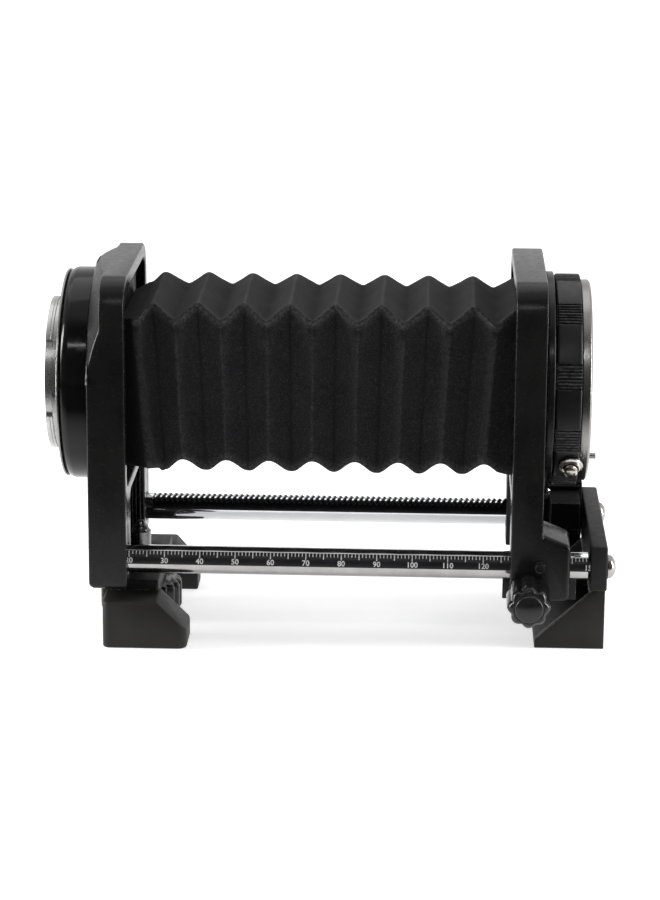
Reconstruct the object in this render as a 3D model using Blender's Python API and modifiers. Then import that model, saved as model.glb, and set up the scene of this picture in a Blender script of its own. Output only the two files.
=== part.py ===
"""Macro extension bellows for an interchangeable-lens camera, modelled as an assembly of separate pieces.

Frame: +X runs along the rails from the camera end to the lens end, +Y is the rack rail's side, +Z is up.
The origin is on the ground, under the middle of the bounding box.  Places along the rails are given as
readings of the millimetre scale on the front rail, whose zero is the camera flange.
"""

import math

import bmesh
import bpy
from mathutils import Matrix, Vector

MM = 0.001
GAP = 0.3 * MM

# ---- Rails ---------------------------------------------------------------------------------------------
MID_READING = 76.65
RAIL_Z = 24.4 * MM
RAIL_Y = 26.5 * MM
RAIL_R = 4.0 * MM
RAIL_BORE_R = RAIL_R + GAP
RAIL_START = 11.1
RAIL_END = 149.8
RAIL_STEPS = 16
RAIL_THREAD_R = 1.8 * MM
RAIL_THREAD_DEPTH = 9.0 * MM
RING_STEPS = 48
END_SCREW_R = 3.5 * MM
END_SCREW_SEAT = 5.1 * MM
END_SCREW_RIM = 0.2 * MM
END_SCREW_DOME = 2.3 * MM
END_SCREW_SHANK_R = 1.5 * MM
END_SCREW_DEPTH = 7.0 * MM

# ---- Rack and pinion -----------------------------------------------------------------------------------
GEAR_MODULE = 0.526 * MM
PINION_TEETH = 12
TOOTH_PITCH = math.pi * GEAR_MODULE
RACK_TIP = 3.7 * MM
RACK_ROOT = 2.4 * MM
RACK_LINE = RACK_TIP - GEAR_MODULE
RACK_FIRST = 22.0
RACK_LAST = 148.0
PRESSURE_ANGLE = math.radians(20.0)
PINION_X = 144.2
PINION_PITCH_R = PINION_TEETH * GEAR_MODULE / 2
PINION_PLAY = 0.05 * MM
PINION_Z = RAIL_Z + RACK_LINE + PINION_PITCH_R + PINION_PLAY
PINION_HALF = 2.2 * MM
PINION_ADDENDUM = 0.95 * GEAR_MODULE
PINION_DEDENDUM = 1.1 * GEAR_MODULE
TOOTH_ROOT_HALF = 0.459 * math.pi / PINION_TEETH
TOOTH_TIP_HALF = 0.187 * math.pi / PINION_TEETH
SHAFT_R = 1.5 * MM
PINION_BORE_R = SHAFT_R + 0.25 * MM

# ---- Standards -----------------------------------------------------------------------------------------
OPTIC_Z = RAIL_Z + 47.7 * MM
STANDARD_TOP = RAIL_Z + 81.1 * MM
STANDARD_HALF = 33.0 * MM
CORNER_R = 10.0 * MM
FOOT_CORNER_R = 2.0 * MM
REAR_BACK = 8.8
REAR_PLATE = 12.5
REAR_FACE = 19.5
REAR_BOTTOM = RAIL_Z - 7.6 * MM
REAR_HEEL_R = 2.0 * MM
FRONT_FACE = 127.6
FRONT_BACK = 136.4
FRONT_BOTTOM = RAIL_Z - 8.8 * MM
BOSS_R = 33.2 * MM
BOSS_BASE_R = 39.5 * MM
POCKET_DEPTH = 4.0
LOWER_DEPTH = 5.0
LOWER_HALF = 20.0 * MM
POCKET_HALF = 28.5 * MM
POCKET_LOW = RAIL_Z + 21.0 * MM
POCKET_HIGH = RAIL_Z + 76.7 * MM
LEDGE_LOW = RAIL_Z + 18.0 * MM
THROAT_R = 20.0 * MM
FRONT_THROAT_R = 24.0 * MM
STANDARD_EDGE = 0.6 * MM
POCKET_CORNER = 2.0 * MM
SHOULDER_RISE = 3.0 * MM
REAR_BORE_DEPTH = 20.0 * MM
FRONT_BORE_DEPTH = 28.0 * MM
GRUB_X = 15.0
GRUB_R = 1.4 * MM
GRUB_HOLE_R = GRUB_R + GAP
GRUB_LENGTH = 2.4 * MM

# ---- Small screws --------------------------------------------------------------------------------------
SCREW_SHANK_R = 0.7 * MM
SCREW_HOLE_R = SCREW_SHANK_R + GAP
SCREW_HEAD_R = 1.3 * MM
SCREW_SEAT_R = SCREW_HEAD_R + GAP
BIG_SHANK_R = 1.0 * MM
BIG_HOLE_R = BIG_SHANK_R + GAP
BIG_HEAD_R = 1.6 * MM
BIG_RELIEF_R = BIG_HEAD_R + 0.4 * MM
FOOT_HEAD_R = 1.1 * MM
FOOT_SEAT_R = FOOT_HEAD_R + GAP

# ---- Bellows -------------------------------------------------------------------------------------------
BELLOWS_Z = RAIL_Z + 49.0 * MM
FOLD_PITCH = 12.86
FIRST_VALLEY = 19.77
RIDGE_HALF_HEIGHT = 24.3 * MM
VALLEY_HALF_HEIGHT = 20.3 * MM
RIDGE_HALF_WIDTH = 21.5 * MM
VALLEY_HALF_WIDTH = 25.3 * MM
CLOTH = 0.8 * MM
FRAME_THICK = 1.2
FRAME_GAP = 0.3
FRAME_MARGIN = 2.6 * MM
FRAME_WINDOW_HALF_WIDTH = 19.0 * MM
FRAME_WINDOW_HALF_HEIGHT = 18.5 * MM
LEAD_IN = 1.0
LEAD_IN_RISE = 0.4

# ---- Camera side mount ---------------------------------------------------------------------------------
COLLAR_R = 30.5 * MM
COLLAR_START = 0.9
FLANGE_R = 29.9 * MM
FLANGE_HOLE_R = 24.0 * MM
FLANGE_THICK = 0.6 * MM
CAMERA_SCREWS = 4
CAMERA_SCREW_START = 45.0
CAMERA_SCREW_CIRCLE = 26.0 * MM
BAYONET_R = 22.3 * MM
BAYONET_NECK_R = 21.6 * MM
BAYONET_TIP = -4.3
BAYONET_STEP = -2.3
BAYONET_EDGE = 0.4 * MM
BAYONET_BORE_R = 19.2 * MM
BAYONET_GAPS = (52.0, 172.0, 292.0)
BAYONET_GAP_HALF = 30.0
BAYONET_GAP_FLOOR_R = 20.6 * MM
BAYONET_GAP_OUTER_R = 26.0 * MM
BAYONET_GAP_STEPS = 8
PIN_R = 0.55 * MM
PIN_HOLE_R = PIN_R + GAP
INDEX_PIN_X = -1.4
LOCK_SCREW_X = -1.35
LOCK_SCREW_ANGLE = math.radians(183.0)

# ---- Lens side mount -----------------------------------------------------------------------------------
BASE_RING_R = 31.0 * MM
GRIP_R = 30.4 * MM
GRIP_START = 139.2
GRIP_END = 147.2
LENS_FLANGE_R = 28.8 * MM
LENS_FLANGE_FACE = 149.3
LENS_THROAT_R = 22.4 * MM
LENS_SCREW_CIRCLE = 25.6 * MM
LENS_BORE_R = 20.4 * MM
LENS_SCREWS = 5
LENS_SCREW_START = 46.0
BUTTON_X = 144.0
BUTTON_R = 1.85 * MM
BUTTON_TOP = 34.0 * MM
BUTTON_FOOT = 29.0 * MM
BUTTON_BORE_R = 3.1 * MM
BUTTON_BORE_FLOOR = 26.3 * MM
BUTTON_COLLAR_R = 2.8 * MM
BUTTON_COLLAR_LOW = 29.4 * MM
BUTTON_COLLAR_HIGH = 32.1 * MM
SPRING_R = 1.3 * MM
SPRING_WIRE_R = 0.15 * MM
SPRING_TURNS = 3
SPRING_STEPS = 12
SPRING_LOW = 26.75 * MM
SPRING_RISE = 1.8 * MM
BUTTON_ANGLE = math.radians(217.5)
LOCK_PIN_ANGLE = math.radians(226.0)
LOCK_PIN_CIRCLE = 24.8 * MM
LOCK_PIN_R = 0.85 * MM
LOCK_PIN_START = 146.0
LOCK_PIN_END = 151.3
LOCK_PIN_BORE_START = 143.2

# ---- Knobs ---------------------------------------------------------------------------------------------
KNOB_REACH = 48.0 * MM
LOCK_KNOB_X = 132.6
LOCK_KNOB_Z = RAIL_Z - 6.3 * MM
LOCK_KNOB_R = 6.1 * MM
LOCK_KNOB_LOBES = 8
LOCK_LOBE_DEPTH = 0.9 * MM
LOCK_KNOB_BACK = STANDARD_HALF + 0.8 * MM
LOCK_DISC_R = 3.9 * MM
LOCK_DISC_RISE = 0.8 * MM
LOCK_SCREW_R = 1.4 * MM
LOCK_HOLE_R = LOCK_SCREW_R + GAP
LOCK_SCREW_START = 21.5 * MM
CLAMP_HOLE_START = 19.0 * MM
FOCUS_KNOB_R = 7.0 * MM
FOCUS_KNOB_FLUTES = 20
FOCUS_FLUTE_DEPTH = 0.5 * MM
KNOB_WALL = 2.7 * MM

# ---- Carriage blocks in front of the lens standard -----------------------------------------------------
ARCH_HALF = 20.4 * MM
ARCH_CORNER_R = 2.5 * MM
BLOCK_EDGE = 0.5 * MM
BLOCK_CORNER_R = 2.0 * MM
BLOCK_OVERLAP = 2.0
FAR_BLOCK_CUT = 4.0
FAR_BLOCK_CUT_RISE = 3.8 * MM
CLAMP_SLIT_HALF = 0.5 * MM
CLAMP_SLIT_TOP = RAIL_Z - 2.0 * MM
BLOCK_INNER = 16.0 * MM
NEAR_BLOCK_END = 144.4
FAR_BLOCK_END = 149.7
NEAR_BLOCK_TOP = RAIL_Z + 11.6 * MM
NEAR_BLOCK_LIP = RAIL_Z + 7.5 * MM
FAR_BLOCK_TOP = RAIL_Z + 12.6 * MM
BAY_HALF = 4.2
BAY_LOW = RAIL_Z + 2.6 * MM
BAY_HIGH = RAIL_Z + 10.6 * MM
COVER_START = 136.3
COVER_END = 149.0
COVER_THICK = 1.2 * MM
COVER_LOW = RAIL_Z - 3.0 * MM
COVER_HIGH = RAIL_Z + 11.8 * MM
COVER_BACK = BLOCK_INNER - GAP
COVER_FACE = COVER_BACK - COVER_THICK
COVER_SCREW_X = 138.6
COVER_SCREW_Z = RAIL_Z + 9.6 * MM
COVER_SHANK_R = 0.6 * MM
COVER_HOLE_R = 0.8 * MM
COVER_HEAD_R = 1.9 * MM
GIB_X = 135.8
GIB_Z = RAIL_Z + 1.6 * MM
GIB_R = 1.0 * MM

# ---- Feet and end bar ----------------------------------------------------------------------------------
BAR_START = 150.1
BAR_END = 154.9
BAR_HALF = 31.0 * MM
BAR_LOW = RAIL_Z - 6.0 * MM
BAR_HIGH = RAIL_Z + 7.0 * MM
BAR_EDGE = 0.5 * MM
FOOT_WALL = 2.0 * MM
FOOT_ROOF = 1.8 * MM
FOOT_TOE_RISE = 2.6 * MM
FRONT_FOOT_TOE = 135.0
FRONT_FOOT_HALF = 27.3 * MM
FRONT_SCREW_X = 152.0
FRONT_SCREW_Y = 18.0 * MM
REAR_FOOT_START = 12.5
REAR_FOOT_END_NEAR = 36.4
REAR_FOOT_END_FAR = 35.3
REAR_FOOT_SHOULDER = 28.1
REAR_FOOT_TOP = RAIL_Z - 10.7 * MM
REAR_FOOT_INNER = 20.4 * MM
REAR_FOOT_OUTER_NEAR = 34.2 * MM
REAR_FOOT_OUTER_FAR = STANDARD_HALF
REAR_FOOT_LIP = 5.5 * MM
REAR_FOOT_HEEL_R = 1.2 * MM
REAR_FOOT_TOE_R = 2.0 * MM
REAR_FOOT_EDGE = 0.5 * MM
BRIDGE_START = 11.2
BRIDGE_END = 27.5
BRIDGE_LOW = 10.8 * MM
FOOT_SCREW_X = 12.9
FOOT_SCREW_Y = 15.0 * MM
BUSH_X = 20.3
BUSH_R = 5.2 * MM
BUSH_NECK_R = 3.9 * MM
BUSH_STUD_R = 3.0 * MM
BUSH_THREAD_R = 3.2 * MM
WHEEL_R = 12.2 * MM
WHEEL_LOW = 1.2 * MM
WHEEL_FLUTES = 22
WHEEL_FLUTE_DEPTH = 0.9 * MM

# ---- Finishes: base colour, roughness, metallic --------------------------------------------------------
FINISHES = {
    "gloss_black": ((0.012, 0.012, 0.013), 0.22, 0.0),
    "satin_black": ((0.020, 0.020, 0.021), 0.42, 0.0),
    "moulded_black": ((0.016, 0.016, 0.017), 0.35, 0.0),
    "chrome": ((0.80, 0.81, 0.82), 0.10, 1.0),
    "satin_silver": ((0.66, 0.66, 0.65), 0.32, 1.0),
    "nickel": ((0.72, 0.70, 0.66), 0.16, 1.0),
    "steel": ((0.55, 0.55, 0.56), 0.28, 1.0),
    "brass": ((0.72, 0.56, 0.27), 0.30, 1.0),
    "cloth": ((0.028, 0.028, 0.031), 0.92, 0.0),
}


# ---- Scene helpers -------------------------------------------------------------------------------------
def rail_x(reading):
    """World X of a reading on the rail scale."""
    return (reading - MID_READING) * MM


def clear_scene():
    for old in list(bpy.data.objects):
        bpy.data.objects.remove(old, do_unlink=True)


def new_collection(name):
    collection = bpy.data.collections.new(name)
    bpy.context.scene.collection.children.link(collection)
    return collection


def principled(name, finish):
    """A Principled material of this name in one of the named finishes."""
    color, roughness, metallic = FINISHES[finish]
    material = bpy.data.materials.new(name)
    material.use_nodes = True
    shader = material.node_tree.nodes["Principled BSDF"]
    shader.inputs["Base Color"].default_value = (*color, 1.0)
    shader.inputs["Roughness"].default_value = roughness
    shader.inputs["Metallic"].default_value = metallic
    material.diffuse_color = (*color, 1.0)
    return material


def finish_part(obj, finish, smooth_angle=35.0):
    """Gives a finished piece its own material and shading, and files it with the parts."""
    obj.data.materials.clear()
    obj.data.materials.append(principled(obj.name + "_finish", finish))
    obj.data.shade_smooth()
    obj.data.set_sharp_from_angle(angle=math.radians(smooth_angle))
    return obj


def link_mesh(name, bm, matrix, collection):
    mesh = bpy.data.meshes.new(name)
    bmesh.ops.recalc_face_normals(bm, faces=bm.faces)
    bm.to_mesh(mesh)
    bm.free()
    obj = bpy.data.objects.new(name, mesh)
    obj.matrix_world = matrix
    collection.objects.link(obj)
    if collection == CUTTERS:
        obj.hide_render = True
        obj.display_type = "WIRE"
    return obj


# ---- Axis systems --------------------------------------------------------------------------------------
def along_x(x, y, z):
    """Local Z runs along world X, local X along world Y, local Y along world Z."""
    return Matrix.Translation((x, y, z)) @ Matrix(((0, 0, 1, 0), (1, 0, 0, 0), (0, 1, 0, 0), (0, 0, 0, 1)))


def along_minus_y(x, y, z):
    """Local Z runs along world -Y, local X along world X, local Y along world Z."""
    return Matrix.Translation((x, y, z)) @ Matrix.Rotation(math.pi / 2, 4, "X")


def along_z(x, y, z):
    return Matrix.Translation((x, y, z))


def radial(x, angle, reach=0.0):
    """Local Z points outward from the optical axis at this angle, measured from +Y towards +Z."""
    out = Vector((0.0, math.cos(angle), math.sin(angle)))
    side = Vector((1.0, 0.0, 0.0))
    turn = Matrix((side, out.cross(side), out)).transposed().to_4x4()
    return Matrix.Translation(Vector((x, 0.0, OPTIC_Z)) + out * reach) @ turn


def about_optic(x, angle, circle):
    """Local Z runs along world X, at this angle on a circle about the optical axis."""
    return along_x(x, circle * math.cos(angle), OPTIC_Z + circle * math.sin(angle))


# ---- Solids --------------------------------------------------------------------------------------------
def box(name, low, high, collection, edge=0.0):
    """A box between two world corners, its edges rounded by a Bevel."""
    low, high = Vector(low), Vector(high)
    bm = bmesh.new()
    bmesh.ops.create_cube(bm, size=1.0)
    bmesh.ops.scale(bm, vec=high - low, verts=bm.verts)
    obj = link_mesh(name, bm, Matrix.Translation((low + high) / 2), collection)
    add_bevel(obj, edge)
    return obj


def cylinder(name, matrix, radius, start, end, collection, steps=24, tip_radius=None):
    """A cylinder or cone on local Z from start to end."""
    bm = bmesh.new()
    tip = radius if tip_radius is None else tip_radius
    bmesh.ops.create_cone(bm, cap_ends=True, segments=steps, radius1=radius, radius2=tip, depth=end - start)
    bmesh.ops.translate(bm, vec=(0, 0, (start + end) / 2), verts=bm.verts)
    return link_mesh(name, bm, matrix, collection)


def turned(name, matrix, profile, collection, steps=32, closed=False):
    """Turns a profile of (radius, height) points about local Z; it runs down the outer side."""
    bm = bmesh.new()
    points = [bm.verts.new((r, 0.0, z)) for r, z in profile]
    pairs = list(zip(points, points[1:]))
    if closed:
        pairs.append((points[-1], points[0]))
    for first, second in pairs:
        bm.edges.new((first, second))
    mesh = bpy.data.meshes.new(name)
    bm.to_mesh(mesh)
    bm.free()
    obj = bpy.data.objects.new(name, mesh)
    obj.matrix_world = matrix
    collection.objects.link(obj)
    screw = obj.modifiers.new("turn", "SCREW")
    screw.axis = "Z"
    screw.angle = 2 * math.pi
    screw.steps = steps
    screw.render_steps = steps
    screw.use_merge_vertices = True
    screw.merge_threshold = 0.00001
    if collection == CUTTERS:
        obj.hide_render = True
        obj.display_type = "WIRE"
    return obj


def ring_profile(outer, inner, low, high, chamfer=0.0):
    """Closed outline of a plain ring, with a chamfer on both outer edges."""
    if chamfer == 0.0:
        return [(outer, high), (outer, low), (inner, low), (inner, high)]
    return [
        (outer - chamfer, high),
        (outer, high - chamfer),
        (outer, low + chamfer),
        (outer - chamfer, low),
        (inner, low),
        (inner, high),
    ]


def outline_solid(name, matrix, outline, half_thick, collection, edge=0.0):
    """A flat outline in local XY, thickened by half_thick both ways, then turned into a welded mesh."""
    curve = bpy.data.curves.new(name + "_outline", "CURVE")
    curve.dimensions = "2D"
    curve.fill_mode = "BOTH"
    curve.extrude = half_thick
    spline = curve.splines.new("POLY")
    spline.points.add(len(outline) - 1)
    for point, (u, v) in zip(spline.points, outline):
        point.co = (u, v, 0.0, 1.0)
    spline.use_cyclic_u = True
    guide = bpy.data.objects.new(name + "_outline", curve)
    bpy.context.scene.collection.objects.link(guide)
    bpy.context.view_layer.update()
    evaluated = guide.evaluated_get(bpy.context.evaluated_depsgraph_get())
    mesh = bpy.data.meshes.new_from_object(evaluated)
    bpy.data.objects.remove(guide, do_unlink=True)
    bm = bmesh.new()
    bm.from_mesh(mesh)
    bpy.data.meshes.remove(mesh)
    bmesh.ops.remove_doubles(bm, verts=bm.verts, dist=0.000001)
    bmesh.ops.dissolve_limit(bm, angle_limit=0.001, verts=bm.verts, edges=bm.edges)
    obj = link_mesh(name, bm, matrix, collection)
    add_bevel(obj, edge)
    return obj


def wire(name, matrix, points, radius, collection):
    """A round wire through points, as a polyline with filled caps, turned into a welded mesh."""
    curve = bpy.data.curves.new(name + "_wire", "CURVE")
    curve.dimensions = "3D"
    curve.bevel_depth = radius
    curve.bevel_resolution = 2
    curve.use_fill_caps = True
    spline = curve.splines.new("POLY")
    spline.points.add(len(points) - 1)
    for point, place in zip(spline.points, points):
        point.co = (*place, 1.0)
    guide = bpy.data.objects.new(name + "_wire", curve)
    bpy.context.scene.collection.objects.link(guide)
    bpy.context.view_layer.update()
    evaluated = guide.evaluated_get(bpy.context.evaluated_depsgraph_get())
    mesh = bpy.data.meshes.new_from_object(evaluated)
    bpy.data.objects.remove(guide, do_unlink=True)
    bm = bmesh.new()
    bm.from_mesh(mesh)
    bpy.data.meshes.remove(mesh)
    bmesh.ops.remove_doubles(bm, verts=bm.verts, dist=0.000001)
    return link_mesh(name, bm, matrix, collection)


def flat_screw(name, matrix, head_r, shank_r, face, shoulder, tip, steps=12):
    """A flat-headed screw on local Z, from its outer face past the head's shoulder to the shank's tip."""
    profile = [(0.0, tip), (shank_r, tip), (shank_r, shoulder), (head_r, shoulder), (head_r, face), (0.0, face)]
    if tip < face:
        profile.reverse()
    return finish_part(turned(name, matrix, profile, PARTS, steps), "steel")


def add_bevel(obj, width, segments=1, angle=40.0):
    if width > 0.0:
        bevel = obj.modifiers.new("edges", "BEVEL")
        bevel.width = width
        bevel.segments = segments
        bevel.limit_method = "ANGLE"
        bevel.angle_limit = math.radians(angle)


def combine(obj, operation, *others):
    """Adds one EXACT Boolean modifier for each of the other shapes."""
    for other in others:
        modifier = obj.modifiers.new(operation.lower(), "BOOLEAN")
        modifier.operation = operation
        modifier.solver = "EXACT"
        modifier.object = other
    return obj


def cut(obj, *others):
    return combine(obj, "DIFFERENCE", *others)


def join(obj, *others):
    return combine(obj, "UNION", *others)


# ---- Outlines ------------------------------------------------------------------------------------------
def arc(center_u, center_v, radius, start_deg, end_deg, steps):
    """Points on an arc, both ends included."""
    points = []
    for i in range(steps + 1):
        angle = math.radians(start_deg + (end_deg - start_deg) * i / steps)
        points.append((center_u + radius * math.cos(angle), center_v + radius * math.sin(angle)))
    return points


def standard_outline(bottom):
    """Front view of a standard: wide round corners above, small ones below."""
    half, top, big, small = STANDARD_HALF, STANDARD_TOP, CORNER_R, FOOT_CORNER_R
    return (
        arc(half - big, top - big, big, 0, 90, 6)
        + arc(-half + big, top - big, big, 90, 180, 6)
        + arc(-half + small, bottom + small, small, 180, 270, 3)
        + arc(half - small, bottom + small, small, 270, 360, 3)
    )


def lobed_outline(radius, depth, lobes, steps_per_lobe):
    """Round outline with smooth lobes."""
    points = []
    total = lobes * steps_per_lobe
    for i in range(total):
        angle = 2 * math.pi * i / total
        r = radius - depth / 2 + depth / 2 * math.cos(lobes * angle)
        points.append((r * math.cos(angle), r * math.sin(angle)))
    return points


def pinion_outline():
    """Gear outline with one tooth pointing along -Y of the outline, teeth thinned for running clearance."""
    tip_r = PINION_PITCH_R + PINION_ADDENDUM
    root_r = PINION_PITCH_R - PINION_DEDENDUM
    corners = (
        (root_r, -TOOTH_ROOT_HALF),
        (tip_r, -TOOTH_TIP_HALF),
        (tip_r, TOOTH_TIP_HALF),
        (root_r, TOOTH_ROOT_HALF),
    )
    points = []
    for tooth in range(PINION_TEETH):
        middle = -math.pi / 2 + 2 * math.pi * tooth / PINION_TEETH
        for r, turn in corners:
            points.append((r * math.cos(middle + turn), r * math.sin(middle + turn)))
    return points


def rack_comb_outline():
    """Side view of the material milled away from the rack rail: one flat with tooth gaps below it."""
    reach = RAIL_R + MM
    gap_root = 0.5 * TOOTH_PITCH - 2 * (RACK_LINE - RACK_ROOT) * math.tan(PRESSURE_ANGLE)
    gap_tip = 0.5 * TOOTH_PITCH + 2 * (RACK_TIP - RACK_LINE) * math.tan(PRESSURE_ANGLE)
    first = math.ceil((RACK_FIRST - PINION_X) * MM / TOOTH_PITCH)
    last = math.floor((RACK_LAST - PINION_X) * MM / TOOTH_PITCH)
    low_x, high_x = rail_x(RACK_FIRST - 1), rail_x(RACK_LAST + 1)
    points = [(high_x, reach), (low_x, reach), (low_x, RACK_TIP)]
    for number in range(first, last + 1):
        middle = rail_x(PINION_X) + number * TOOTH_PITCH
        points.append((middle - gap_tip / 2, RACK_TIP))
        points.append((middle - gap_root / 2, RACK_ROOT))
        points.append((middle + gap_root / 2, RACK_ROOT))
        points.append((middle + gap_tip / 2, RACK_TIP))
    points.append((high_x, RACK_TIP))
    return points


# ---- Rails ---------------------------------------------------------------------------------------------
def build_rails():
    length = (RAIL_END - RAIL_START) * MM
    for name, side in (("scale_rod", -1), ("rack_rod", 1)):
        place = along_x(rail_x(RAIL_START), side * RAIL_Y, RAIL_Z)
        rod = cylinder(name, place, RAIL_R, 0.0, length, PARTS, RAIL_STEPS)
        thread_start = length - RAIL_THREAD_DEPTH
        thread_name = name + "_thread"
        thread = cylinder(thread_name, place, RAIL_THREAD_R, thread_start, length + MM, CUTTERS, 12)
        cut(rod, thread)
        if side > 0:
            comb_place = along_minus_y(0.0, RAIL_Y, RAIL_Z)
            comb = outline_solid("rack_comb", comb_place, rack_comb_outline(), 2 * RAIL_R, CUTTERS)
            cut(rod, comb)
        finish_part(rod, "chrome")
        end_screw(name.replace("rod", "rod_end_screw"), side)


def end_screw(name, side):
    """Domed screw that holds the end bar on a rail; the shank enters the rail's threaded end."""
    crown = END_SCREW_SEAT + END_SCREW_RIM
    profile = [(0.0, crown + END_SCREW_DOME)]
    for step in range(1, 5):
        angle = math.radians(90 - 22.5 * step)
        profile.append((END_SCREW_R * math.cos(angle), crown + END_SCREW_DOME * math.sin(angle)))
    profile += [
        (END_SCREW_R, END_SCREW_SEAT),
        (END_SCREW_SHANK_R, END_SCREW_SEAT),
        (END_SCREW_SHANK_R, -END_SCREW_DEPTH),
        (0.0, -END_SCREW_DEPTH),
    ]
    screw = turned(name, along_x(rail_x(BAR_START), side * RAIL_Y, RAIL_Z), profile, PARTS, 20)
    finish_part(screw, "chrome")


# ---- Rear (camera side) standard -----------------------------------------------------------------------
def build_rear_standard():
    thick = (REAR_FACE - REAR_BACK) * MM
    middle = rail_x((REAR_FACE + REAR_BACK) / 2)
    outline = standard_outline(REAR_BOTTOM)
    body = outline_solid("rear_standard", along_x(middle, 0, 0), outline, thick / 2, PARTS, STANDARD_EDGE)

    slope = (REAR_PLATE - REAR_BACK) * MM
    shoulder = box(
        "rear_shoulder_cut",
        (rail_x(REAR_BACK - 4), -STANDARD_HALF - MM, OPTIC_Z + SHOULDER_RISE),
        (rail_x(REAR_PLATE), STANDARD_HALF + MM, STANDARD_TOP + MM),
        CUTTERS,
    )
    boss = cylinder(
        "rear_boss", along_x(rail_x(REAR_BACK), 0, OPTIC_Z), BOSS_R, 0.0, slope + MM, CUTTERS, 48, BOSS_BASE_R
    )
    cut(shoulder, boss)

    floor = rail_x(REAR_FACE - POCKET_DEPTH)
    open_x = rail_x(REAR_FACE + 2)
    pocket = box(
        "rear_pocket",
        (floor, -POCKET_HALF, POCKET_LOW),
        (open_x, POCKET_HALF, POCKET_HIGH),
        CUTTERS,
        POCKET_CORNER,
    )
    lower = box(
        "rear_lower_pocket",
        (rail_x(REAR_FACE - LOWER_DEPTH), -LOWER_HALF, REAR_BOTTOM - 3 * MM),
        (open_x, LOWER_HALF, LEDGE_LOW),
        CUTTERS,
        POCKET_CORNER,
    )
    throat = cylinder(
        "rear_throat", along_x(rail_x(REAR_BACK), 0, OPTIC_Z), THROAT_R, -2 * MM, thick + 2 * MM, CUTTERS, 48
    )
    heel_u, heel_v = rail_x(REAR_BACK) + REAR_HEEL_R, REAR_BOTTOM + REAR_HEEL_R
    heel_outline = [(heel_u - REAR_HEEL_R - MM, heel_v), (heel_u - REAR_HEEL_R - MM, REAR_BOTTOM - MM)]
    heel_outline += [(heel_u, REAR_BOTTOM - MM)] + arc(heel_u, heel_v, REAR_HEEL_R, 270, 180, 4)
    heel = outline_solid("rear_heel", along_minus_y(0, 0, 0), heel_outline, STANDARD_HALF + MM, CUTTERS)
    cut(body, shoulder, pocket, lower, throat, heel)
    for tag, side in (("near", -1), ("far", 1)):
        bore = cylinder(
            "rear_bore_" + tag,
            along_x(rail_x(RAIL_START) - GAP, side * RAIL_Y, RAIL_Z),
            RAIL_BORE_R,
            0.0,
            REAR_BORE_DEPTH,
            CUTTERS,
            RAIL_STEPS,
        )
        grub_place = along_z(rail_x(GRUB_X), side * RAIL_Y, REAR_BOTTOM)
        grub_hole = cylinder("rear_grub_hole_" + tag, grub_place, GRUB_HOLE_R, -MM, 4 * MM, CUTTERS, 12)
        foot_hole = cylinder(
            "rear_foot_hole_" + tag,
            along_z(rail_x(FOOT_SCREW_X), side * FOOT_SCREW_Y, REAR_BOTTOM),
            SCREW_HOLE_R,
            -MM,
            7 * MM,
            CUTTERS,
            12,
        )
        cut(body, bore, grub_hole, foot_hole)
        grub = cylinder("rear_grub_" + tag, grub_place, GRUB_R, 0.1 * MM, GRUB_LENGTH, PARTS, 12)
        finish_part(grub, "steel")
    finish_part(body, "gloss_black")


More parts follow.
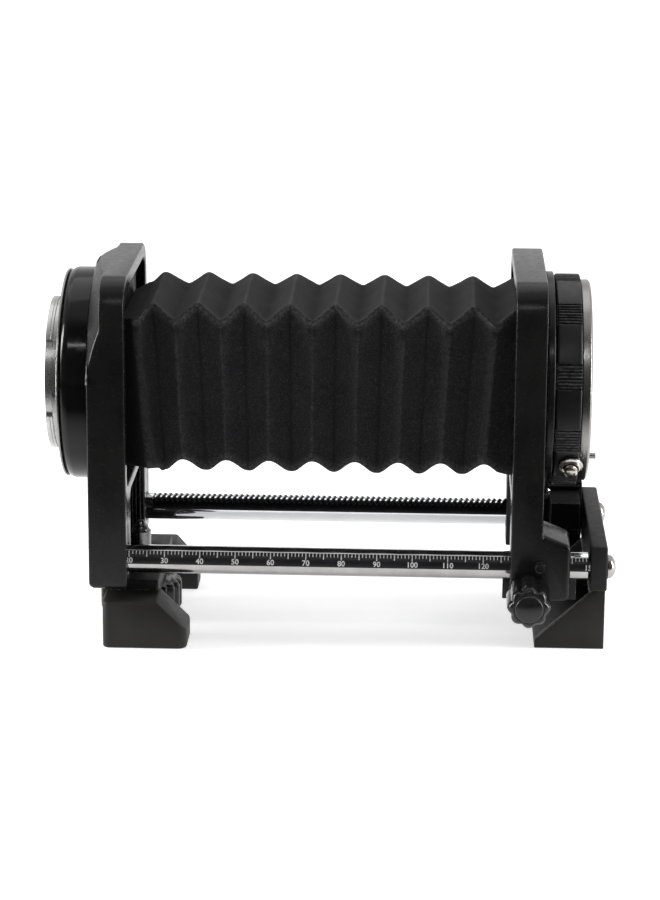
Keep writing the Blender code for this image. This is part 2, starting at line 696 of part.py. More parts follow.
# ---- Camera side mount ---------------------------------------------------------------------------------
def build_camera_mount():
    zero = along_x(rail_x(0.0), 0, OPTIC_Z)
    rear = REAR_BACK * MM - GAP
    front = COLLAR_START * MM
    collar = turned(
        "rear_collar",
        zero,
        [
            (COLLAR_R, rear),
            (COLLAR_R, front + 1.2 * MM),
            (COLLAR_R - 0.2 * MM, front + 0.4 * MM),
            (COLLAR_R - 0.6 * MM, front),
            (THROAT_R, front),
            (THROAT_R, rear),
        ],
        PARTS,
        RING_STEPS,
        closed=True,
    )
    finish_part(collar, "satin_black")

    plate = ring_profile(FLANGE_R, FLANGE_HOLE_R, 0.0, FLANGE_THICK)
    flange = turned("camera_flange", zero, plate, PARTS, RING_STEPS, closed=True)
    finish_part(flange, "satin_silver")

    step, tip = BAYONET_STEP * MM, BAYONET_TIP * MM
    bayonet = turned(
        "camera_bayonet",
        zero,
        [
            (BAYONET_NECK_R, FLANGE_THICK),
            (BAYONET_NECK_R, step),
            (BAYONET_R, step),
            (BAYONET_R, tip + BAYONET_EDGE),
            (BAYONET_R - BAYONET_EDGE, tip),
            (BAYONET_BORE_R, tip),
            (BAYONET_BORE_R, FLANGE_THICK),
        ],
        PARTS,
        RING_STEPS,
        closed=True,
    )
    for number, middle in enumerate(BAYONET_GAPS):
        cut(bayonet, bayonet_gap(number + 1, middle))
    finish_part(bayonet, "satin_silver")

    pin_place = radial(rail_x(INDEX_PIN_X), math.pi / 2)
    pin = cylinder("bayonet_index_pin", pin_place, PIN_R, 21.9 * MM, 23.3 * MM, PARTS, 12)
    pin_hole = cylinder("bayonet_pin_hole", pin_place, PIN_HOLE_R, 21.1 * MM, 24 * MM, CUTTERS, 12)
    cut(bayonet, pin_hole)
    finish_part(pin, "steel")

    lock_place = radial(rail_x(LOCK_SCREW_X), LOCK_SCREW_ANGLE)
    lock_hole = cylinder("bayonet_lock_hole", lock_place, PIN_HOLE_R, 20.4 * MM, 24 * MM, CUTTERS, 12)
    cut(bayonet, lock_hole)
    lock = cylinder("bayonet_lock_screw", lock_place, PIN_R, 20.7 * MM, 21.8 * MM, PARTS, 12)
    finish_part(lock, "steel")

    for number in range(CAMERA_SCREWS):
        angle = math.radians(CAMERA_SCREW_START + 360 / CAMERA_SCREWS * number)
        place = about_optic(rail_x(0.0), angle, CAMERA_SCREW_CIRCLE)
        hole = cylinder(f"camera_screw_hole_{number + 1}", place, SCREW_HOLE_R, -MM, 6 * MM, CUTTERS, 12)
        seat = cylinder(f"camera_screw_seat_{number + 1}", place, SCREW_SEAT_R, -MM, 1.4 * MM, CUTTERS, 16)
        cut(flange, seat)
        cut(collar, seat, hole)
        name = f"camera_flange_screw_{number + 1}"
        flat_screw(name, place, SCREW_HEAD_R, SCREW_SHANK_R, 0.15 * MM, 1.1 * MM, 5.5 * MM)


def bayonet_gap(number, middle):
    """Cutter that lowers the bayonet's lip between two tabs."""
    first, last = middle - BAYONET_GAP_HALF, middle + BAYONET_GAP_HALF
    outer = arc(0.0, 0.0, BAYONET_GAP_OUTER_R, first, last, BAYONET_GAP_STEPS)
    inner = arc(0.0, 0.0, BAYONET_GAP_FLOOR_R, last, first, BAYONET_GAP_STEPS)
    centre = rail_x((BAYONET_TIP - 1 + BAYONET_STEP) / 2)
    half_thick = (BAYONET_STEP - BAYONET_TIP + 1) / 2 * MM
    place = along_x(centre, 0, OPTIC_Z)
    return outline_solid(f"bayonet_gap_{number}", place, outer + inner, half_thick, CUTTERS)


# ---- Bellows and its frames ----------------------------------------------------------------------------
def build_bellows():
    rear_floor = REAR_FACE - POCKET_DEPTH
    front_floor = FRONT_FACE + POCKET_DEPTH
    start = rear_floor + FRAME_GAP + FRAME_THICK + FRAME_GAP
    end = front_floor - FRAME_GAP - FRAME_THICK - FRAME_GAP
    sections = [(start, LEAD_IN_RISE), (start + LEAD_IN, LEAD_IN_RISE)]
    fold = 0
    while FIRST_VALLEY + fold * FOLD_PITCH / 2 < end:
        sections.append((FIRST_VALLEY + fold * FOLD_PITCH / 2, fold % 2))
        fold += 1
    sections.append((end, sections[-1][1]))

    bm = bmesh.new()
    rings = []
    for reading, rise in sections:
        height = VALLEY_HALF_HEIGHT + (RIDGE_HALF_HEIGHT - VALLEY_HALF_HEIGHT) * rise
        width = VALLEY_HALF_WIDTH + (RIDGE_HALF_WIDTH - VALLEY_HALF_WIDTH) * rise
        corners = ((-width, -height), (width, -height), (width, height), (-width, height))
        rings.append([bm.verts.new((rail_x(reading), y, z)) for y, z in corners])
    for first, second in zip(rings, rings[1:]):
        for i in range(4):
            j = (i + 1) % 4
            bm.faces.new((first[i], first[j], second[j], second[i]))
    bellows = link_mesh("bellows", bm, along_z(0, 0, BELLOWS_Z), PARTS)
    shell = bellows.modifiers.new("cloth", "SOLIDIFY")
    shell.thickness = CLOTH
    shell.offset = -1.0
    shell.use_even_offset = True
    finish_part(bellows, "cloth")

    places = (
        ("rear_bellows_frame", rear_floor + FRAME_GAP),
        ("front_bellows_frame", front_floor - FRAME_GAP - FRAME_THICK),
    )
    for name, low in places:
        plate = box(
            name,
            (rail_x(low), -POCKET_HALF + FRAME_MARGIN, POCKET_LOW + FRAME_MARGIN),
            (rail_x(low + FRAME_THICK), POCKET_HALF - FRAME_MARGIN, POCKET_HIGH - FRAME_MARGIN),
            PARTS,
        )
        window = box(
            name + "_window",
            (rail_x(low - 1), -FRAME_WINDOW_HALF_WIDTH, BELLOWS_Z - FRAME_WINDOW_HALF_HEIGHT),
            (rail_x(low + FRAME_THICK + 1), FRAME_WINDOW_HALF_WIDTH, BELLOWS_Z + FRAME_WINDOW_HALF_HEIGHT),
            CUTTERS,
        )
        cut(plate, window)
        finish_part(plate, "satin_black")


# ---- Front (lens side) standard ------------------------------------------------------------------------
def build_front_standard():
    thick = (FRONT_BACK - FRONT_FACE) * MM
    body = outline_solid(
        "front_standard",
        along_x(rail_x((FRONT_FACE + FRONT_BACK) / 2), 0, 0),
        standard_outline(FRONT_BOTTOM),
        thick / 2,
        PARTS,
        STANDARD_EDGE,
    )
    start = rail_x(FRONT_BACK - BLOCK_OVERLAP)
    corner = BLOCK_CORNER_R
    near_outline = (
        [(start, NEAR_BLOCK_TOP), (start, FRONT_BOTTOM)]
        + arc(rail_x(NEAR_BLOCK_END) - corner, FRONT_BOTTOM + corner, corner, 270, 360, 3)
        + [(rail_x(NEAR_BLOCK_END), NEAR_BLOCK_LIP)]
    )
    far_outline = [
        (start, FAR_BLOCK_TOP),
        (start, FRONT_BOTTOM),
        (rail_x(FAR_BLOCK_END - FAR_BLOCK_CUT), FRONT_BOTTOM),
        (rail_x(FAR_BLOCK_END), FRONT_BOTTOM + FAR_BLOCK_CUT_RISE),
        (rail_x(FAR_BLOCK_END), FAR_BLOCK_TOP),
    ]
    block_half = (STANDARD_HALF - BLOCK_INNER) / 2
    block_mid = (STANDARD_HALF + BLOCK_INNER) / 2
    near_place, far_place = along_minus_y(0, -block_mid, 0), along_minus_y(0, block_mid, 0)
    near_block = outline_solid("near_block", near_place, near_outline, block_half, CUTTERS, BLOCK_EDGE)
    far_block = outline_solid("far_block", far_place, far_outline, block_half, CUTTERS, BLOCK_EDGE)
    join(body, near_block, far_block)

    floor = rail_x(FRONT_FACE + POCKET_DEPTH)
    open_x = rail_x(FRONT_FACE - 2)
    pocket = box(
        "front_pocket",
        (open_x, -POCKET_HALF, POCKET_LOW),
        (floor, POCKET_HALF, POCKET_HIGH),
        CUTTERS,
        POCKET_CORNER,
    )
    r = ARCH_CORNER_R
    arch_outline = (
        [(-ARCH_HALF, FRONT_BOTTOM - 3 * MM), (ARCH_HALF, FRONT_BOTTOM - 3 * MM)]
        + arc(ARCH_HALF - r, LEDGE_LOW - r, r, 0, 90, 3)
        + arc(-ARCH_HALF + r, LEDGE_LOW - r, r, 90, 180, 3)
    )
    arch_place = along_x(rail_x((FRONT_FACE + FRONT_BACK) / 2), 0, 0)
    arch = outline_solid("front_arch", arch_place, arch_outline, thick / 2 + 0.5 * MM, CUTTERS)
    throat_place = along_x(rail_x(FRONT_FACE), 0, OPTIC_Z)
    throat = cylinder("front_throat", throat_place, FRONT_THROAT_R, -2 * MM, thick + 2 * MM, CUTTERS, 48)
    cut(body, pocket, arch, throat)
    for tag, side in (("near", -1), ("far", 1)):
        bore = cylinder(
            "front_bore_" + tag,
            along_x(rail_x(FRONT_FACE - 2), side * RAIL_Y, RAIL_Z),
            RAIL_BORE_R,
            0.0,
            FRONT_BORE_DEPTH,
            CUTTERS,
            RAIL_STEPS,
        )
        cut(body, bore)

    slit = box(
        "clamp_slit",
        (rail_x(FRONT_FACE - 2), -RAIL_Y - CLAMP_SLIT_HALF, FRONT_BOTTOM - MM),
        (rail_x(NEAR_BLOCK_END + 2), -RAIL_Y + CLAMP_SLIT_HALF, CLAMP_SLIT_TOP),
        CUTTERS,
    )
    clamp_place = along_minus_y(rail_x(LOCK_KNOB_X), 0, LOCK_KNOB_Z)
    clamp_hole = cylinder("clamp_hole", clamp_place, LOCK_HOLE_R, CLAMP_HOLE_START, 35 * MM, CUTTERS, 16)
    gib_place = along_minus_y(rail_x(GIB_X), 0, GIB_Z)
    gib_hole = cylinder("gib_hole", gib_place, GIB_R + GAP, 29 * MM, 35 * MM, CUTTERS, 12)
    gear_bay = box(
        "gear_bay",
        (rail_x(PINION_X - BAY_HALF), 0, BAY_LOW),
        (rail_x(PINION_X + BAY_HALF), 30 * MM, BAY_HIGH),
        CUTTERS,
    )
    shaft_place = along_minus_y(rail_x(PINION_X), 0, PINION_Z)
    shaft_hole = cylinder("shaft_hole", shaft_place, SHAFT_R + GAP, -36 * MM, -15 * MM, CUTTERS, 16)
    screw_place = along_minus_y(rail_x(COVER_SCREW_X), 0, COVER_SCREW_Z)
    screw_hole = cylinder("cover_screw_hole", screw_place, COVER_HOLE_R, -22 * MM, -MM, CUTTERS, 12)
    cut(body, slit, clamp_hole, gib_hole, gear_bay, shaft_hole, screw_hole)
    finish_part(body, "gloss_black")

    gib = cylinder("gib_screw", gib_place, GIB_R, 30.9 * MM, 32.8 * MM, PARTS, 12)
    finish_part(gib, "steel")


# ---- Focusing drive ------------------------------------------------------------------------------------
def build_focus_drive():
    axis = along_minus_y(rail_x(PINION_X), 0, PINION_Z)
    shaft = cylinder("focus_shaft", axis, SHAFT_R, -KNOB_REACH + 3 * MM, -13.6 * MM, PARTS, 16)
    finish_part(shaft, "steel")

    gear_place = axis @ Matrix.Translation((0, 0, -RAIL_Y))
    pinion = outline_solid("focus_pinion", gear_place, pinion_outline(), PINION_HALF, PARTS)
    bore = cylinder("pinion_bore", axis, PINION_BORE_R, -32 * MM, -20 * MM, CUTTERS, 16)
    cut(pinion, bore)
    finish_part(pinion, "brass", 20.0)

    inner, outer = STANDARD_HALF + 1.5 * MM, KNOB_REACH
    knob = outline_solid(
        "focus_knob",
        axis @ Matrix.Translation((0, 0, -(inner + outer) / 2)),
        lobed_outline(FOCUS_KNOB_R, FOCUS_FLUTE_DEPTH, FOCUS_KNOB_FLUTES, 3),
        (outer - inner) / 2,
        PARTS,
        0.7 * MM,
    )
    bore_end = -KNOB_REACH + KNOB_WALL
    knob_bore = cylinder("focus_knob_bore", axis, SHAFT_R + GAP, bore_end, -30 * MM, CUTTERS, 16)
    cut(knob, knob_bore)
    finish_part(knob, "moulded_black")

    cover = box(
        "pinion_cover",
        (rail_x(COVER_START), COVER_FACE, COVER_LOW),
        (rail_x(COVER_END), COVER_BACK, COVER_HIGH),
        PARTS,
    )
    cover_hole = cylinder("cover_shaft_hole", axis, SHAFT_R + GAP, -17 * MM, -12 * MM, CUTTERS, 16)
    screw_axis = along_minus_y(rail_x(COVER_SCREW_X), 0, COVER_SCREW_Z)
    pass_hole = cylinder("cover_pass_hole", screw_axis, COVER_HOLE_R, -17 * MM, -12 * MM, CUTTERS, 12)
    cut(cover, cover_hole, pass_hole)
    finish_part(cover, "satin_black")

    head = -COVER_FACE
    screw = turned(
        "pinion_cover_screw",
        screw_axis,
        [
            (0.0, head + 1.7 * MM),
            (COVER_HEAD_R - 0.7 * MM, head + 1.6 * MM),
            (COVER_HEAD_R, head + 1.0 * MM),
            (COVER_HEAD_R, head + GAP),
            (COVER_SHANK_R, head + GAP),
            (COVER_SHANK_R, head - 5 * MM),
            (0.0, head - 5 * MM),
        ],
        PARTS,
        16,
    )
    finish_part(screw, "chrome")


# ---- Rail clamp ----------------------------------------------------------------------------------------
def build_lock_knob():
    axis = along_minus_y(rail_x(LOCK_KNOB_X), 0, LOCK_KNOB_Z)
    back, face = LOCK_KNOB_BACK, KNOB_REACH - LOCK_DISC_RISE
    knob = outline_solid(
        "lock_knob",
        axis @ Matrix.Translation((0, 0, (back + face) / 2)),
        lobed_outline(LOCK_KNOB_R, LOCK_LOBE_DEPTH, LOCK_KNOB_LOBES, 6),
        (face - back) / 2,
        PARTS,
        0.5 * MM,
    )
    disc = cylinder("lock_knob_disc", axis, LOCK_DISC_R, face - 2 * MM, KNOB_REACH, CUTTERS, 32)
    hole = cylinder("lock_knob_hole", axis, LOCK_HOLE_R, 30 * MM, face - KNOB_WALL, CUTTERS, 16)
    join(knob, disc)
    cut(knob, hole)
    finish_part(knob, "moulded_black")
    screw = cylinder("lock_screw", axis, LOCK_SCREW_R, LOCK_SCREW_START, face - KNOB_WALL - GAP, PARTS, 16)
    finish_part(screw, "steel")


# ---- Lens side mount -----------------------------------------------------------------------------------
def build_lens_mount():
    zero = along_x(rail_x(0.0), 0, OPTIC_Z)
    base_low, base_high = FRONT_BACK * MM + GAP, GRIP_START * MM - GAP
    base_profile = ring_profile(BASE_RING_R, LENS_THROAT_R, base_low, base_high, 0.3 * MM)
    base = turned("lens_base_ring", zero, base_profile, PARTS, RING_STEPS, closed=True)
    finish_part(base, "gloss_black")

    low, high = GRIP_START * MM, GRIP_END * MM
    ring = turned(
        "lens_mount_ring",
        zero,
        [
            (29.6 * MM, high),
            (GRIP_R - 0.25 * MM, high - 0.9 * MM),
            (GRIP_R, high - 1.6 * MM),
            (GRIP_R, low + 0.5 * MM),
            (GRIP_R - 0.5 * MM, low),
            (LENS_THROAT_R, low),
            (LENS_THROAT_R, high),
        ],
        PARTS,
        RING_STEPS,
        closed=True,
    )
    flange_back = GRIP_END * MM + GAP
    face = LENS_FLANGE_FACE * MM
    flange = turned(
        "lens_flange",
        zero,
        [
            (LENS_FLANGE_R - 0.5 * MM, face),
            (LENS_FLANGE_R, face - 0.5 * MM),
            (LENS_FLANGE_R, flange_back),
            (LENS_BORE_R, flange_back),
            (LENS_BORE_R, face),
        ],
        PARTS,
        RING_STEPS,
        closed=True,
    )

    button_place = radial(rail_x(BUTTON_X), BUTTON_ANGLE)
    button_bore = cylinder(
        "button_bore", button_place, BUTTON_BORE_R, BUTTON_BORE_FLOOR, BUTTON_TOP, CUTTERS, 20
    )
    pin_place = about_optic(rail_x(0.0), LOCK_PIN_ANGLE, LOCK_PIN_CIRCLE)
    bore_start = LOCK_PIN_BORE_START * MM
    pin_bore = cylinder("lock_pin_bore", pin_place, LOCK_PIN_R + GAP, bore_start, face + MM, CUTTERS, 16)
    cut(ring, button_bore, pin_bore)
    cut(flange, pin_bore)
    for number in range(LENS_SCREWS):
        angle = math.radians(LENS_SCREW_START + 360 / LENS_SCREWS * number)
        place = about_optic(rail_x(LENS_FLANGE_FACE), angle, LENS_SCREW_CIRCLE)
        hole = cylinder(f"lens_screw_hole_{number + 1}", place, SCREW_HOLE_R, -7 * MM, MM, CUTTERS, 12)
        seat = cylinder(f"lens_screw_seat_{number + 1}", place, SCREW_SEAT_R, -0.9 * MM, MM, CUTTERS, 16)
        cut(flange, hole, seat)
        cut(ring, hole)
        name = f"lens_flange_screw_{number + 1}"
        flat_screw(name, place, SCREW_HEAD_R, SCREW_SHANK_R, -0.1 * MM, -0.6 * MM, -6.5 * MM)
    finish_part(ring, "satin_black")
    finish_part(flange, "satin_silver")

    pin = cylinder(
        "lens_lock_pin", pin_place, LOCK_PIN_R, LOCK_PIN_START * MM, LOCK_PIN_END * MM, PARTS, 16
    )
    finish_part(pin, "steel")

    button = turned(
        "release_button",
        button_place,
        [
            (0.0, BUTTON_TOP),
            (BUTTON_R - 0.35 * MM, BUTTON_TOP),
            (BUTTON_R, BUTTON_TOP - 0.3 * MM),
            (BUTTON_R, BUTTON_FOOT),
            (0.0, BUTTON_FOOT),
        ],
        PARTS,
        20,
    )
    finish_part(button, "nickel")
    collar = turned(
        "release_collar",
        button_place,
        [
            (BUTTON_COLLAR_R - 0.3 * MM, BUTTON_COLLAR_HIGH),
            (BUTTON_COLLAR_R, BUTTON_COLLAR_HIGH - 0.3 * MM),
            (BUTTON_COLLAR_R, BUTTON_COLLAR_LOW),
            (BUTTON_R + GAP, BUTTON_COLLAR_LOW),
            (BUTTON_R + GAP, BUTTON_COLLAR_HIGH),
        ],
        PARTS,
        24,
        closed=True,
    )
    finish_part(collar, "nickel")

    coil = []
    last = SPRING_TURNS * SPRING_STEPS
    for i in range(last + 1):
        angle = 2 * math.pi * i / SPRING_STEPS
        height = SPRING_LOW + SPRING_RISE * i / last
        coil.append((SPRING_R * math.cos(angle), SPRING_R * math.sin(angle), height))
    spring = wire("release_spring", button_place, coil, SPRING_WIRE_R, PARTS)
    finish_part(spring, "steel")


# ---- End bar and front foot ----------------------------------------------------------------------------
def build_front_end():
    bar_low = (rail_x(BAR_START), -BAR_HALF, BAR_LOW)
    bar_high = (rail_x(BAR_END), BAR_HALF, BAR_HIGH)
    bar = box("end_bar", bar_low, bar_high, PARTS, BAR_EDGE)
    for tag, side in (("near", -1), ("far", 1)):
        hole = cylinder(
            "bar_hole_" + tag,
            along_x(rail_x(BAR_START), side * RAIL_Y, RAIL_Z),
            RAIL_THREAD_R,
            -MM,
            8 * MM,
            CUTTERS,
            12,
        )
        blind = cylinder(
            "bar_foot_hole_" + tag,
            along_z(rail_x(FRONT_SCREW_X), side * FRONT_SCREW_Y, BAR_LOW),
            BIG_HOLE_R,
            -MM,
            6 * MM,
            CUTTERS,
            12,
        )
        cut(bar, hole, blind)
    finish_part(bar, "satin_black")

    top = BAR_LOW - GAP
    toe, heel = rail_x(FRONT_FOOT_TOE), rail_x(BAR_END - 0.2)
    gusset = [(toe, 0.0), (heel, 0.0), (heel, top), (rail_x(BAR_START + 2), top), (toe, FOOT_TOE_RISE)]
    foot = outline_solid("front_foot", along_minus_y(0, 0, 0), gusset, FRONT_FOOT_HALF, PARTS)
    inside_low = (toe - MM, -FRONT_FOOT_HALF + FOOT_WALL, FOOT_WALL)
    hollow_high = (heel - FOOT_WALL, FRONT_FOOT_HALF - FOOT_WALL, top - FOOT_ROOF)
    mouth_high = (rail_x(BAR_START - 1.5), FRONT_FOOT_HALF - FOOT_WALL, RAIL_Z)
    hollow = box("front_foot_hollow", inside_low, hollow_high, CUTTERS)
    mouth = box("front_foot_mouth", inside_low, mouth_high, CUTTERS)
    cut(foot, hollow, mouth)
    for tag, side in (("near", -1), ("far", 1)):
        place = along_z(rail_x(FRONT_SCREW_X), side * FRONT_SCREW_Y, top)
        hole = cylinder("foot_pass_" + tag, place, BIG_HOLE_R, -4 * MM, MM, CUTTERS, 12)
        relief = cylinder("foot_relief_" + tag, place, BIG_RELIEF_R, -5 * MM, -FOOT_ROOF, CUTTERS, 16)
        cut(foot, hole, relief)
        name = "front_foot_screw_" + tag
        shoulder = -FOOT_ROOF - GAP
        flat_screw(name, place, BIG_HEAD_R, BIG_SHANK_R, shoulder - 1.1 * MM, shoulder, 5 * MM, 14)
    finish_part(foot, "satin_black")


# ---- Rear foot, clamp wheel and tripod bush ------------------------------------------------------------
def foot_block(name, side, end_reading, outer, collection):
    """One block of the rear foot: flat on top behind, sloping down towards the front."""
    start, end, top = rail_x(REAR_FOOT_START), rail_x(end_reading), REAR_FOOT_TOP
    heel, toe = REAR_FOOT_HEEL_R, REAR_FOOT_TOE_R
    side_view = (
        arc(start + heel, heel, heel, 180, 270, 3)
        + arc(end - toe, toe, toe, 270, 360, 4)
        + [(end, REAR_FOOT_LIP), (rail_x(REAR_FOOT_SHOULDER), top), (start, top)]
    )
    half = (outer - REAR_FOOT_INNER) / 2
    middle = (outer + REAR_FOOT_INNER) / 2
    place = along_minus_y(0, side * middle, 0)
    return outline_solid(name, place, side_view, half, collection, REAR_FOOT_EDGE)


def build_rear_foot():
    foot = foot_block("rear_foot", -1, REAR_FOOT_END_NEAR, REAR_FOOT_OUTER_NEAR, PARTS)
    far = foot_block("rear_foot_far", 1, REAR_FOOT_END_FAR, REAR_FOOT_OUTER_FAR, CUTTERS)
    bridge = box(
        "rear_foot_bridge",
        (rail_x(BRIDGE_START), -REAR_FOOT_INNER - 2 * MM, BRIDGE_LOW),
        (rail_x(BRIDGE_END), REAR_FOOT_INNER + 2 * MM, REAR_BOTTOM - GAP),
        CUTTERS,
        REAR_FOOT_EDGE,
    )
    join(foot, bridge, far)
    bush_place = along_z(rail_x(BUSH_X), 0, 0)
    bush_hole = cylinder("bush_hole", bush_place, BUSH_NECK_R + GAP, 9 * MM, 20 * MM, CUTTERS, 24)
    cut(foot, bush_hole)
    for tag, side in (("near", -1), ("far", 1)):
        place = along_z(rail_x(FOOT_SCREW_X), side * FOOT_SCREW_Y, BRIDGE_LOW)
        hole = cylinder("foot_hole_" + tag, place, SCREW_HOLE_R, -MM, 9 * MM, CUTTERS, 12)
        seat = cylinder("foot_seat_" + tag, place, FOOT_SEAT_R, -MM, 1.6 * MM, CUTTERS, 16)
        cut(foot, hole, seat)
        name = "foot_screw_" + tag
        flat_screw(name, place, FOOT_HEAD_R, SCREW_SHANK_R, 0.2 * MM, 1.3 * MM, 11.0 * MM, 14)
    finish_part(foot, "satin_black")

    bush_top = RAIL_Z + 3.4 * MM
    bush = turned(
        "tripod_bush",
        bush_place,
        [
            (0.0, bush_top),
            (1.1 * MM, bush_top),
            (1.6 * MM, bush_top - 1.4 * MM),
            (2.0 * MM, bush_top - 1.5 * MM),
            (2.5 * MM, bush_top - 2.8 * MM),
            (BUSH_STUD_R, bush_top - 3.1 * MM),
            (BUSH_STUD_R, REAR_BOTTOM + 0.6 * MM),
            (BUSH_NECK_R, REAR_BOTTOM + 0.4 * MM),
            (BUSH_NECK_R, BRIDGE_LOW - GAP),
            (BUSH_R, BRIDGE_LOW - GAP),
            (BUSH_R, 0.0),
            (BUSH_THREAD_R, 0.0),
            (BUSH_THREAD_R, 8.0 * MM),
            (0.0, 9.0 * MM),
        ],
        PARTS,
        24,
    )
    finish_part(bush, "nickel")

    low, high = WHEEL_LOW, BRIDGE_LOW - 0.5 * MM
    wheel = outline_solid(
        "foot_wheel",
        bush_place @ Matrix.Translation((0, 0, (low + high) / 2)),
        lobed_outline(WHEEL_R, WHEEL_FLUTE_DEPTH, WHEEL_FLUTES, 3),
        (high - low) / 2,
        PARTS,
        0.5 * MM,
    )
    wheel_bore = cylinder("wheel_bore", bush_place, BUSH_R + GAP, -MM, 14 * MM, CUTTERS, 24)
    cut(wheel, wheel_bore)
    finish_part(wheel, "moulded_black")


clear_scene()
PARTS = new_collection("macro_extension_bellows")
CUTTERS = new_collection("cutters")
build_rails()
build_rear_standard()
build_camera_mount()
build_bellows()
build_front_standard()
build_focus_drive()
build_lock_knob()
build_lens_mount()
build_front_end()
build_rear_foot()
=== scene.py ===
import math

import bmesh
import bpy
from mathutils import Matrix, Vector, noise


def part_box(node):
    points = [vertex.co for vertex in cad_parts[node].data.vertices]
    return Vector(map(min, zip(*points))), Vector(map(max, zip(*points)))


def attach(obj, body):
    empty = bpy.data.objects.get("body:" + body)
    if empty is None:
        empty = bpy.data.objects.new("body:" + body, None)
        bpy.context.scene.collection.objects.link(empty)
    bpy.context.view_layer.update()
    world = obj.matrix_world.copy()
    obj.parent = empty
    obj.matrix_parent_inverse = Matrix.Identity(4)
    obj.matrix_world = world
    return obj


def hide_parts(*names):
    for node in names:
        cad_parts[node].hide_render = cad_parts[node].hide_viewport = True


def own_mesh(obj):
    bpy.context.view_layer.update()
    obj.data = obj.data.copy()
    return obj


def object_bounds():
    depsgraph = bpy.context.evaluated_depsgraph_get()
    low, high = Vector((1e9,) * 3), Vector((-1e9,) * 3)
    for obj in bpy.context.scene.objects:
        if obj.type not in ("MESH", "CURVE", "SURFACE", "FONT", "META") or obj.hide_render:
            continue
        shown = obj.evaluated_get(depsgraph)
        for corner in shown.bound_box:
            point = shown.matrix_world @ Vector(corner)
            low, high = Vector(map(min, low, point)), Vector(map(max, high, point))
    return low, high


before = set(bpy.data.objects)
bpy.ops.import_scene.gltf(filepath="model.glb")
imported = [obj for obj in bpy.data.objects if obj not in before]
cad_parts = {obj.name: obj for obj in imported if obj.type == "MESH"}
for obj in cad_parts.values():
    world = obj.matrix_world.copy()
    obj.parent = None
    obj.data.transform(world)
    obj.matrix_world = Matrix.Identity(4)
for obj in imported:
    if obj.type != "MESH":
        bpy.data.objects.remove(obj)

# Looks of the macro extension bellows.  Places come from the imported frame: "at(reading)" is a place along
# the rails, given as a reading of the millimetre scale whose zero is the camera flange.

CAD_BOX = [list(corner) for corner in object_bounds()]
MM = 0.001

# ---- Places taken from the frame -----------------------------------------------------------------------


def middle(node):
    low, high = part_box(node)
    return (low + high) / 2


ZERO_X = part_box("camera_flange")[0].x
RAIL_LOW, RAIL_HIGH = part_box("scale_rod")
RAIL_Z = middle("scale_rod").z
RAIL_Y = -middle("scale_rod").y
RAIL_R = 4.0 * MM
OPTIC_Z = middle("lens_flange").z
REAR_LOW, REAR_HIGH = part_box("rear_standard")
FRONT_LOW, FRONT_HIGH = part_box("front_standard")
HALF = REAR_HIGH.y
ROOT, CARRIAGE = "root", "lens_carriage"

# Readings in millimetres: ends of plates and blocks, and where the bores in the lens mount begin.
REAR_PLATE_BACK, FRONT_PLATE_BACK = 12.5, 136.4
NEAR_BLOCK_END = 144.4
LENS_PIN_BORE_START = 143.2
FOOT_NEAR_END, FOOT_FAR_END, FOOT_SLOPE_TOP = 36.4, 35.3, 28.1
BRIDGE_START, BRIDGE_END = 11.2, 27.5
FRONT_FOOT_MOUTH_END, GUSSET_TOP = 148.6, 152.1


def at(reading):
    """World X of a reading on the rail scale."""
    return ZERO_X + reading * MM


def rail(offset):
    """World Z of a height in millimetres above the rails' axes."""
    return RAIL_Z + offset * MM


# ---- Node materials ------------------------------------------------------------------------------------


RANGE_SOCKETS = ("From Min", "From Max", "To Min", "To Max")


